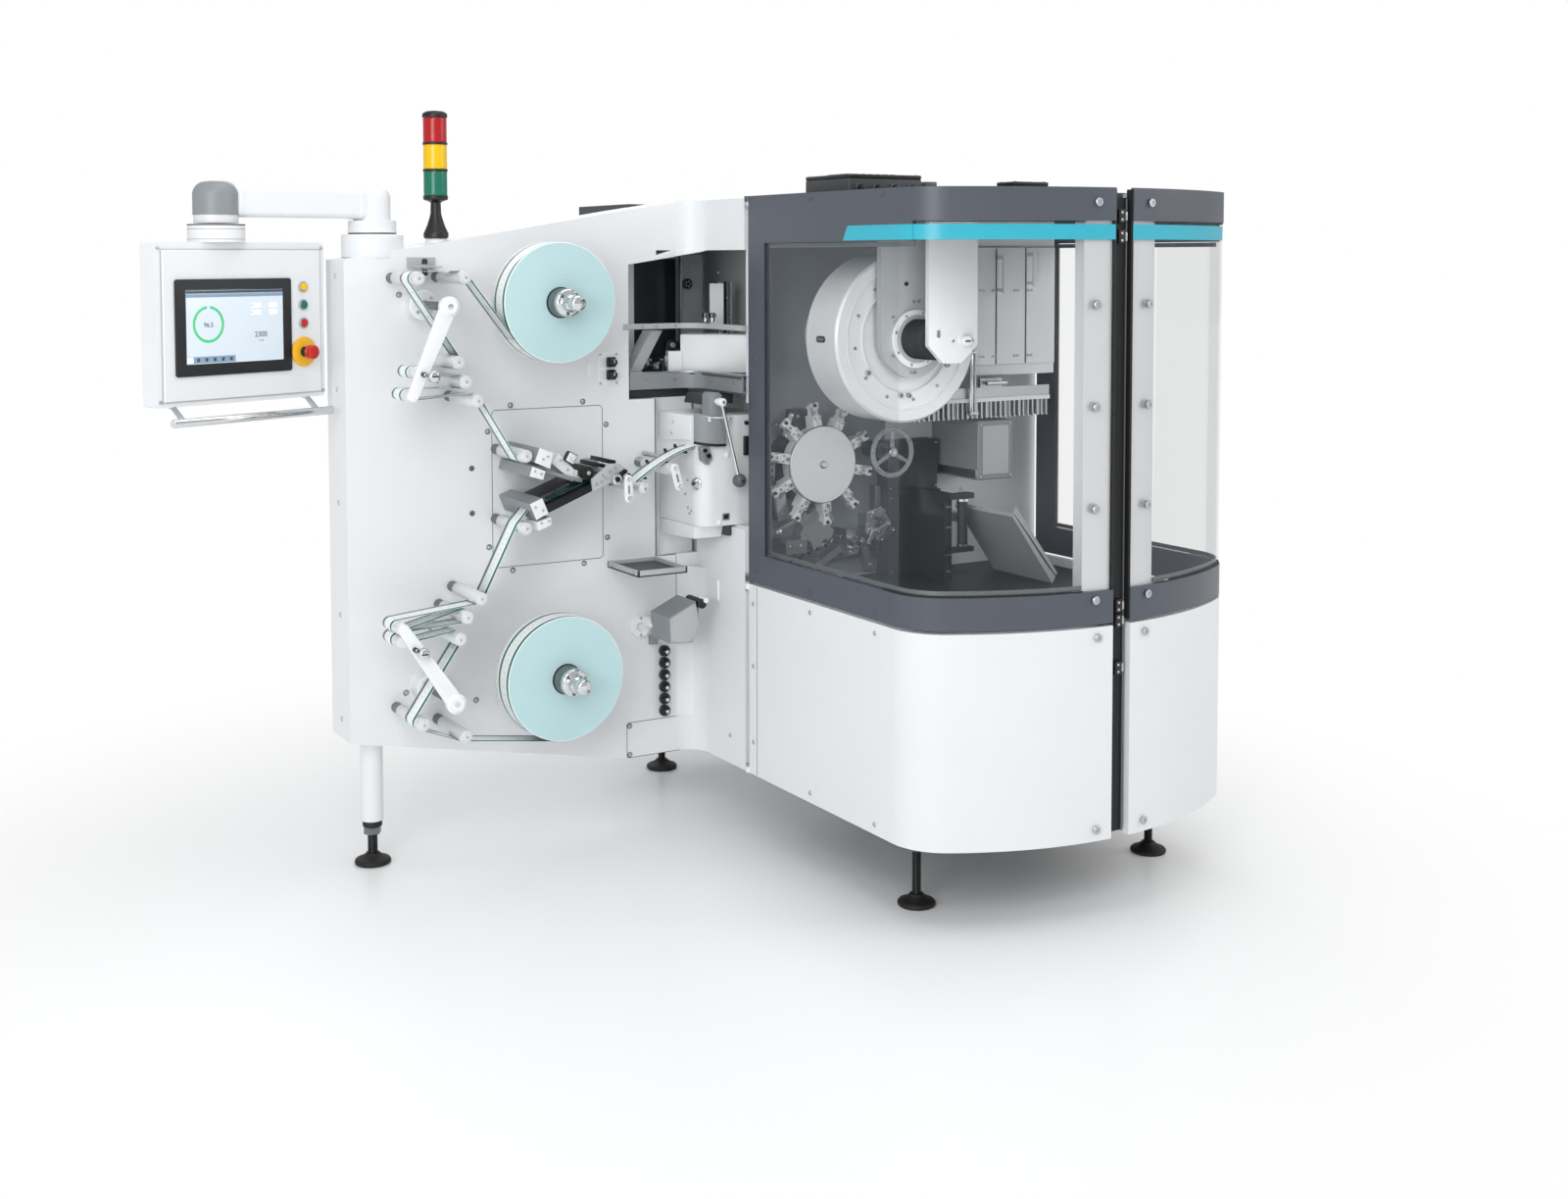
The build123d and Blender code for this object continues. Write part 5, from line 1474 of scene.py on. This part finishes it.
def lever_bar():
    """The hand lever: a chrome rod from its white hub to a grey ball with a flattened front."""
    piece = Piece("lever_bar_and_ball", "lever", "steel", [chrome, powder_white_gloss, grey_abs, black_abs])
    pivot, ball = (1014.0, 1275.0), (1073.0, 1046.0)
    path = [
        (pivot[0] * (1 - t) + ball[0] * t, -262, pivot[1] * (1 - t) + ball[1] * t) for t in (0.02, 0.5, 0.93)
    ]
    piece.tube(path, 5, 0, 20)
    profile = (
        (4, -282), (10, -281), (15, -276.5), (18.6, -270), (20, -262), (18.6, -254), (14.5, -248),
        (8, -244.5),
    )
    piece.lathe(profile, ball[0], ball[1], 2, 40)
    piece.lathe(((1.5, -282.6), (3.5, -282.4), (3.5, -281)), ball[0], ball[1], 3, 16)
    piece.lathe(
        ((3, -274), (9.5, -274), (12, -272), (12, -252), (10, -250), (8, -250), (8, -202)), pivot[0],
        pivot[1], 1,
    )
    piece.lathe(((2.5, -276), (5, -275.6), (5, -273)), pivot[0], pivot[1], 0, 16)
    piece.make("hand_lever")


def chamber_inside():
    """The access chamber: rail and tray bent round the corner, plates, duct, boxes and small fittings."""
    floor = 1344  # the height of the chamber's floor
    piece = Piece(
        "chamber_rail_and_boxes", "machine", "light_grey_paint",
        [
            powder_mid_grey, powder_pale_grey, powder_white, powder_dark, black_abs, satin_steel, chrome,
            bright_white, shade_dark_plate,
        ],
    )
    turn = np.radians(np.linspace(90, 0, 10))
    arc = np.array((1001.0, -74.0)) + 70 * unit(turn)
    for first, last, bottom, top, deep, kind in (
        (832, -286, 1477, 1493, 14, 1), (852, -286, 1301, 1347, 3, 0),
    ):
        line = np.concatenate((((first, -4), (first + 60, -4)), arc, ((1071, -180), (1071, last))))
        piece.bend(line, deep, bottom, top, kind=kind)
    line = np.concatenate((((852, -5), (912, -5)), arc - (0.7, 0.7), ((1070, -180), (1070, -286))))
    piece.bend(line, 26, 1346, 1350, 0.8, kind=5)
    piece.bend(line, 16, 1299, 1303, 0.8)
    shelf = (
        (856, 12), (1010, 12), (1066, -40), (1066, -280), (1180, -280), (1180, 200), (946, 200), (946, 40),
    )
    piece.level(shelf, 1340, floor, 1, kind=3)
    for x, z in ((905, 1326), (1000, 1326)):
        piece.screw(x, z, -4, 4.5, 5, 2.5)
    for depth, z in ((-95, 1326), (-240, 1326)):
        piece.add(turned(((4.5, 0), (4.5, 2), (2.5, 2.6)), 16), (1071, depth, z), LEFT, 5)
    for x in (893, 940, 1003):
        piece.screw(x, 1485, -4, 3.5, 5, 2)
    piece.level(((1040, 34), (1184, -123), (1240, -70), (1110, 110)), floor, 1458, 3, kind=7)
    piece.level(((1004, 44), (1042, 26), (1060, 66), (1016, 84)), floor, 1407, 2, kind=7)
    piece.front([(870, floor), (910, floor), (984, 1470), (946, 1470)], 40, 100, 3, 1)
    piece.box(955, 1004, 395, 402, floor, 1700, 1, kind=3)
    piece.box(1151, 1158, 240, 252, floor, 1695, 1, kind=5)
    piece.box(1158, 1232, 244, 250, floor, 1695, 1)
    piece.lathe(((2, 232), (13, 232), (16, 235), (16, 245)), 1174, 1605, 4)
    for k in range(5):
        at = round_place(np.array((1174.0, 0, 1605.0)), 8, 72 * k)
        piece.lathe(((0.8, 230.5), (2.2, 231), (2.2, 233)), at[0], at[2], 5, 10)
    piece.level(((1206, 152), (1242, 128), (1245, 133), (1209, 157)), 1480, 1607, 1, kind=2)
    for x in (1262, 1284, 1303):
        piece.box(x, x + 9, 196, 204, floor, 1612, 1, kind=5 if x != 1284 else 3)
    for x, z, depth in (
        (1154, 1643, 240), (1186, 1660, 240), (1262, 1640, 200), (1290, 1560, 196), (1300, 1500, 196),
    ):
        piece.rod(x, z, depth - 8, depth, 4, kind=6, steps=16)
    for x, height in ((1112, 20), (1136, 26)):
        piece.rod(x, 1513, 0, 14, 9, kind=6)
        piece.add(turned(((7, 0), (7, height)), 20), (x, 8, 1494), ABOVE, 6)
    for k in range(9):
        x, z = 915 + 13 * k, 1346 + 9 * (k % 3)
        piece.box(x, x + 9, 50 + 6 * (k % 4), 84, z, z + 16 + 7 * (k % 4), 1.5, kind=(4, 3, 5, 4, 0)[k % 5])
        piece.rod(x + 5, z + 18, 44, 70, 3.2, kind=5, steps=14)
    piece.front([(1010, 1409), (1060, 1409), (1060, 1428), (1046, 1440), (1014, 1436)], 70, 96, 2, 4)
    piece.rod(1030, 1424, 60, 72, 8, kind=5)
    # A dark plate at the chamber's back: painted shade of the machine's inside
    piece.box(1011, 1166, 300, 306, 1346, 1683, 2, kind=8)
    # A dark plate across the opening under the rail: painted shade of the opening's shadowed bottom
    piece.box(852, 1064, 30, 36, 1272, 1300, 1.5, kind=3)
    piece.front([(856, 1668), (1006, 1690), (1006, 1712), (996, 1710)], -0.5, 20, 1, 2)
    rise = 1690 + 18 * np.linspace(0, 1, len(arc))
    piece.bend(arc + (0, 4), 8, rise, 1712, kind=2)
    piece.make("chamber_fittings")


splicer_boxes()
splicer_bed()
guide_bar()
gear_box()
lever_bar()
chamber_inside()
film_web(
    "splicer_film_run", [(490, 1014), (560, 1041), (634, 1069), (652, 1079)],
    finish=film_on_black,
)
film_web("guided_film_run", GUIDE_LINE)


# Wall, shelf, roof boxes and feet


def seam(piece, path, kind, radius=0.9):
    """A joint between two sheets: a thin dark bead along a path of X and Z, half sunk in the wall's face."""
    piece.add(outward(swept([(x, -0.1, z) for x, z in path], radius, 6)), axes=ABOVE, kind=kind)


def wall_details():
    """Seams and screws of the wall's two removable panels, plugs, bare plates and the side's guide strip."""
    piece = Piece(
        "wall_seams_and_screws", "machine", "steel",
        [satin_steel, powder_dark, powder_white_gloss, grey_abs, powder_pale_grey],
    )
    for outline in (rounded(344, 448, 12, centre=(591, 1035)), rounded(226, 105, 6, centre=(950, 257.5))):
        seam(piece, [*outline, outline[0]], 1)
    seam(piece, [(1004, 797), (1004, 560)], 1)
    seam(piece, [(936, 1271), (936, 1030), (936, 801), (970, 801), (1004, 801)], 1, 1.6)
    for x, z in (
        (476, 1271), (701, 1272), (775, 1202), (407, 1200), (408, 872), (479, 800), (702, 800), (777, 870),
        (153, 1588), (364, 441), (159, 488), (846, 300), (1054, 300), (846, 214),
    ):
        piece.stud(BUTTON_SCREW, x, z, 0, 18)
        piece.stud(SCREW_RING[::-1], x, z, 1, 20, hollow=True)
    for z in (1099, 972):
        piece.rod(358, z, -1.6, 0, 8, kind=3, steps=24)
    for z in (1640, 1330, 1020, 710, 420):
        piece.add(turned(BUTTON_SCREW, 18), (0, 70, z), LEFT, 0)
    turn = np.radians(np.linspace(90, 48, 8))
    plate = np.array((1005.0, -70.0)) + 68.8 * unit(turn)
    piece.bend(np.concatenate((((1002, -1.2),), plate)), 1.2, 310, 528, 0.4, kind=2)
    piece.front(rounded(24, 38, 2, centre=(728.5, 1360)), -1.2, 0, 0.4, 2)
    piece.box(1069, 1075.5, -138, -128, 676, 736, 1.5, kind=2)
    piece.add(turned(BUTTON_SCREW, 18), (1075, -203, 288), LEFT, 0)
    piece.make()


def switches_and_knobs():
    """The plate with two rotary switches, and the row of six air knobs with knurled collars."""
    piece = Piece(
        "wall_switches_and_knobs", "machine", "black_plastic",
        [black_abs, powder_white_gloss, white_abs, chrome, satin_steel],
    )
    piece.front(rounded(62, 96, 4, centre=(782, 1365)), -3, 0, 1, 1)
    for x in (756, 808):
        for z in (1323, 1407):
            piece.stud(((4.2, 3.0), (4.0, 4.2), (2.6, 5.0), (1.4, 4.4)), x, z, 4, 14)
    for z in (1384, 1347):
        piece.front(rounded(17, 25, 2, centre=(765, z)), -4.5, -3, 0.5, 2)
        piece.front(rounded(27, 29, 3, centre=(789, z)), -13, -3, 2, 0)
        grip = ((13.0, 12), (12.5, 14), (11.2, 16), (11.0, 28), (10.2, 30), (8.0, 31))
        piece.stud(grip, 789, z, 0, 28)
        piece.box(787.8, 790.2, -31.8, -30.5, z - 2, z + 9, 0.4, kind=2)
    for k in range(6):
        z = 336 + 36 * k
        piece.stud(((14.5, 0), (14.5, 2.5), (13, 3.5), (9, 4), (9, 8)), 956, z, 4, 28)
        turn = np.linspace(0, 2 * pi, 72, endpoint=False)
        reach = 16.6 + 0.7 * np.cos(18 * turn)
        piece.front(reach[:, None] * unit(turn) + (956, z), -21, -8, 2, 0)
        piece.stud(((11, 21), (10.4, 31), (9, 33), (6, 33.6)), 956, z, 0, 28)
        piece.stud(((5.5, 33), (5.5, 34.6), (4.4, 35.6), (2, 35.8)), 956, z, 3, 20)
    piece.make("wall_controls")


def shelf_and_sensors():
    """The shelf tray with its mat, the print-mark sensor's box on its flange, and the dancer's sensor."""
    left, right, front, sensor_x, sensor_z = 777, 935, -200, 880, 596
    piece = Piece(
        "shelf_and_sensor_boxes", "machine", "light_grey_paint",
        [powder_mid_grey, powder_pale_grey, powder_dark, black_abs, powder_white_gloss, satin_steel],
    )
    piece.level(rounded(158, 200, 3, centre=(856, -100)), 781, 786.5, 1)
    for x0, x1, y0, y1 in (
        (left, 783, front, 0), (929, right, front, 0), (left, right, front, -194), (left, right, -6, 0),
    ):
        piece.level(rounded(x1 - x0, y1 - y0, 0.8, 3, ((x0 + x1) / 2, (y0 + y1) / 2)), 781, 800, 0.8, kind=1)
    piece.level(rounded(145, 187, 4, centre=(856, -100)), 786, 789.5, 1, kind=2)
    for depth in (-30, -170):
        piece.add(turned(((5, 0), (5, 2.5), (3, 3.2)), 16), (left, depth, 791), LEFT, 5)
    box = [(886, 651), (973, 691), (987, 630), (965, 572), (888, 576)]
    piece.front(box, -180, -60, 3, 0)
    piece.front([(889, 648), (971, 686), (984, 630), (963, 575), (891, 579)], -182, -179, 1, 1)
    for x, z in ((897, 642), (964, 675), (958, 582), (897, 586)):
        piece.stud(((3, 182), (3, 183.6), (1.6, 184)), x, z, 5, 12)
    piece.rod(993, 682, -186, -100, 14, edge=2, kind=3)
    piece.rod(1003, 692, -190, -150, 8, kind=4)
    piece.box(970, 1000, -150, -70, 640, 672, 3)
    collar = ((14, 0), (14, 10), (31, 10), (32, 8.5), (32, 0))[::-1]
    piece.stud(collar, sensor_x, sensor_z, 4, 40, hollow=True)
    piece.rod(902, 610, -70, 0, 16, kind=4)
    for z in (621, 570):
        piece.stud(((4.5, 9.5), (4.5, 12), (2.5, 12.8)), sensor_x, z, 5, 14)
    piece.box(909, 932, -20, 0, 540, 566, 2)
    piece.box(176, 256, -6, 0, 1662, 1690, 1, kind=1)
    piece.box(176, 256, -60, -6, 1662, 1666, 1, kind=1)
    piece.column(((7, 1640), (8, 1642), (8, 1682), (5, 1686)), 214, -38, 3, 24)
    for z in (1657, 1666):
        piece.add(slab(circle(12, 6), z, z + 4.6, 0.8), (214, -38, 0), ABOVE, 5)
    piece.make("wall_fittings")


def levelling_foot(piece, x, y, rod_top, rod_radius, disc_kind, rod_kind):
    """A domed rubber-soled disc with the threaded rod that stands in its socket."""
    disc = ((44, 0), (48, 1), (50, 4), (50, 9), (47, 13), (40, 16), (28, 21), (20, 28), (18, 31))
    piece.column(disc, x, y, disc_kind, 48)
    thread = [(rod_radius - 0.9 * (k % 2), 29 + 2.2 * k) for k in range(int((rod_top - 29) / 2.2) + 1)]
    piece.column(thread, x, y, rod_kind, 24)


LEG = (84, 80)


def legs_and_feet():
    """The film wall's tube leg, and the cabinet's four feet with their lock nuts and sockets."""
    leg = Piece(
        "wall_leg_and_foot", "machine", "white_paint",
        [powder_white, black_steel, dark_anodised, black_rubber],
    )
    tube = ((28, 122), (30.5, 124), (31, 128), (31, 362), (30.5, 366))
    leg.column(tube, *LEG, 0, 48)
    leg.column(((24, 105), (27, 107), (27, 120), (25, 122.5)), *LEG, 3, 40)
    leg.add(slab(circle(25, 6), 84, 105.5, 2.5), (*LEG, 0), ABOVE, 2)
    levelling_foot(leg, *LEG, 86, 14, 3, 1)
    leg.make("left_leg")
    feet = Piece(
        "cabinet_feet", "machine", "black_metal", [black_steel, powder_white, dark_anodised, black_rubber],
    )
    for x in (1203, 2 * MIDDLE_X - 1203):
        for y in (-958, 485):
            levelling_foot(feet, x, y, 182, 12, 3, 0)
            feet.add(slab(circle(21, 6), 145, 161, 2.5), (x, y, 0), ABOVE, 2)
            feet.add(slab(circle(21, 6), 162, 170, 2), (x, y, 0), ABOVE, 0)
            feet.column(((30, 176), (33, 177.5), (34, 180), (34, 203), (33, 205)), x, y, 1, 48)
    feet.make("machine_feet")


def roof_units():
    """The black boxes on the guard's roof: ribbed lids, screws, cable glands and a plug."""
    piece = Piece("roof_units", "machine", "black_metal", [powder_dark, black_abs, satin_steel, grey_abs])
    for x0, x1, y0, y1, top in ((1160, 1400, -700, -480, 1910), (1560, 1680, -900, -820, 1890)):
        middle = ((x0 + x1) / 2, (y0 + y1) / 2)
        width, depth = x1 - x0, y1 - y0
        piece.level(rounded(width, depth, 6, centre=middle), 1850, top - 12, 2)
        piece.level(rounded(width - 3, depth - 3, 6, centre=middle), top - 12.5, top - 10.5, 0.5, kind=1)
        piece.level(rounded(width, depth, 6, centre=middle), top - 11, top, 3, kind=1)
        for side in (-1, 1):
            for end in (-1, 1):
                at = (middle[0] + side * (width / 2 - 11), middle[1] + end * (depth / 2 - 11), 0)
                piece.add(turned(((4.5, top - 1), (4.5, top + 1.4), (2.6, top + 2)), 16), at, ABOVE, 2)
        for k in range(int(width / 60)):
            x, z = x0 + 32 + 56 * k, (1850 + top) / 2 - 5
            piece.add(slab(circle(11, 6, (x, z)), y0 - 7, y0 + 1, 1), axes=FRONT, kind=3)
            piece.lathe(((5, y0 - 20), (8, y0 - 19), (9, y0 - 12), (9, y0 - 6)), x, z, 1, 24)
    for k in range(7):
        piece.box(1196 + 24 * k, 1208 + 24 * k, -640, -540, 1908, 1914, 2)
    piece.level(rounded(86, 64, 8, centre=(1462, -640)), 1850, 1882, 4, kind=1)
    piece.level(rounded(40, 40, 6, centre=(1462, -640)), 1880, 1896, 3, kind=3)
    piece.make("roof_boxes")


wall_details()
switches_and_knobs()
shelf_and_sensors()
legs_and_feet()
roof_units()


# Camera, light and floor

camera = bpy.data.objects.new("camera", bpy.data.cameras.new("camera"))
bpy.context.scene.collection.objects.link(camera)
camera.location = (-2.2578, -4.3275, 1.6908)
camera.rotation_euler = (radians(86.866), radians(0.122), radians(-30.394))
camera.data.lens = 40.642
camera.data.sensor_width = 36
camera.data.shift_x = 0.0191
camera.data.shift_y = -0.157
bpy.context.scene.camera = camera
bpy.context.scene.view_settings.view_transform = "Standard"


def soft_lamp(name, place, target, size, watts):
    """A rectangular lamp in metres, turned towards its target."""
    lamp = bpy.data.lights.new(name, "AREA")
    lamp.shape = "RECTANGLE"
    lamp.size, lamp.size_y = size
    lamp.energy = watts
    holder = bpy.data.objects.new(name, lamp)
    bpy.context.scene.collection.objects.link(holder)
    axes = axes_towards(np.subtract(place, target))
    holder.matrix_world = [[*axes[0], 0], [*axes[1], 0], [*axes[2], 0], [*place, 1]]
    return holder


# Lamps by name: place, target and size in metres, and watts
LAMPS = {
    "key_lamp": ((-3.2, -4.6, 4.6), (0, 0, 0.9), (3.0, 2.4), 90),
    "side_lamp": ((4.8, -3.2, 3.4), (0, 0, 0.9), (3.2, 2.4), 57),
    "back_lamp": ((1.0, 5.0, 4.4), (0, 0, 1.0), (4.0, 2.0), 60),
    "top_lamp": ((0.2, -0.6, 5.4), (0, 0, 0.6), (4.0, 3.0), 62),
    "wall_lamp": ((-4.6, -4.0, 2.2), (-0.6, 0.3, 0.9), (2.6, 2.2), 98),
    "guard_lamp": ((0.4, -0.8, 1.35), (0.75, -0.2, 1.25), (0.2, 0.6), 1.1),
}
lamps = {name: soft_lamp(name, *measures) for name, measures in LAMPS.items()}
lamps["guard_lamp"].visible_camera = lamps["guard_lamp"].visible_glossy = False

SKY_LIGHT = 0.58  # the white surround's share of light where it isn't seen directly
FLOOR_REACH = 40  # metres from the middle to the floor's sides
FLOOR_FADE = (0.9, 2.7)  # metres from the middle over which the floor turns into the white surround

world = bpy.data.worlds.new("studio")
bpy.context.scene.world = world
world.use_nodes = True
studio = world.node_tree
rays = add_node(studio, "LightPath")
seen = add_node(
    studio,
    "Math",
    {0: rays.outputs["Is Camera Ray"], 1: rays.outputs["Is Transmission Ray"]},
    operation="MAXIMUM",
).outputs[0]
level = add_node(studio, "MapRange", {"Value": seen, "To Min": SKY_LIGHT, "To Max": 1.0})
studio.nodes["Background"].inputs["Color"].default_value = (1, 1, 1, 1)
studio.links.new(level.outputs[0], studio.nodes["Background"].inputs["Strength"])

floor_mesh = bpy.data.meshes.new("studio_floor")
floor_corners = [(x * FLOOR_REACH, y * FLOOR_REACH, 0) for x, y in ((-1, -1), (1, -1), (1, 1), (-1, 1))]
floor_mesh.from_pydata(floor_corners, [], [(0, 1, 2, 3)])
studio_floor = bpy.data.objects.new("studio_floor", floor_mesh)
bpy.context.scene.collection.objects.link(studio_floor)
floor_paint = bpy.data.materials.new("painted_studio_floor")
floor_paint.use_nodes = True
tree = floor_paint.node_tree
paint = tree.nodes["Principled BSDF"]
paint.inputs["Base Color"].default_value = linear("#f7f8f9")
paint.inputs["Roughness"].default_value = 0.3
paint.inputs["Specular IOR Level"].default_value = 0.3
rays = add_node(tree, "LightPath")
distance = add_node(tree, "VectorMath", {0: add_node(tree, "TexCoord").outputs["Object"]}, operation="LENGTH")
fade_range = {"Value": distance.outputs["Value"], "From Min": FLOOR_FADE[0], "From Max": FLOOR_FADE[1]}
fade = add_node(tree, "MapRange", fade_range, interpolation_type="SMOOTHSTEP")
shown = add_node(
    tree, "Math", {0: rays.outputs["Is Camera Ray"], 1: rays.outputs["Is Glossy Ray"]}, operation="MAXIMUM"
).outputs[0]
share = add_node(tree, "Math", {0: fade.outputs[0], 1: shown}, operation="MULTIPLY").outputs[0]
glow = add_node(tree, "Emission", {"Color": (1, 1, 1, 1), "Strength": 1.0})
blend = add_node(tree, "MixShader", {0: share, 1: paint.outputs[0], 2: glow.outputs[0]})
tree.links.new(blend.outputs[0], tree.nodes["Material Output"].inputs["Surface"])
floor_mesh.materials.append(floor_paint)
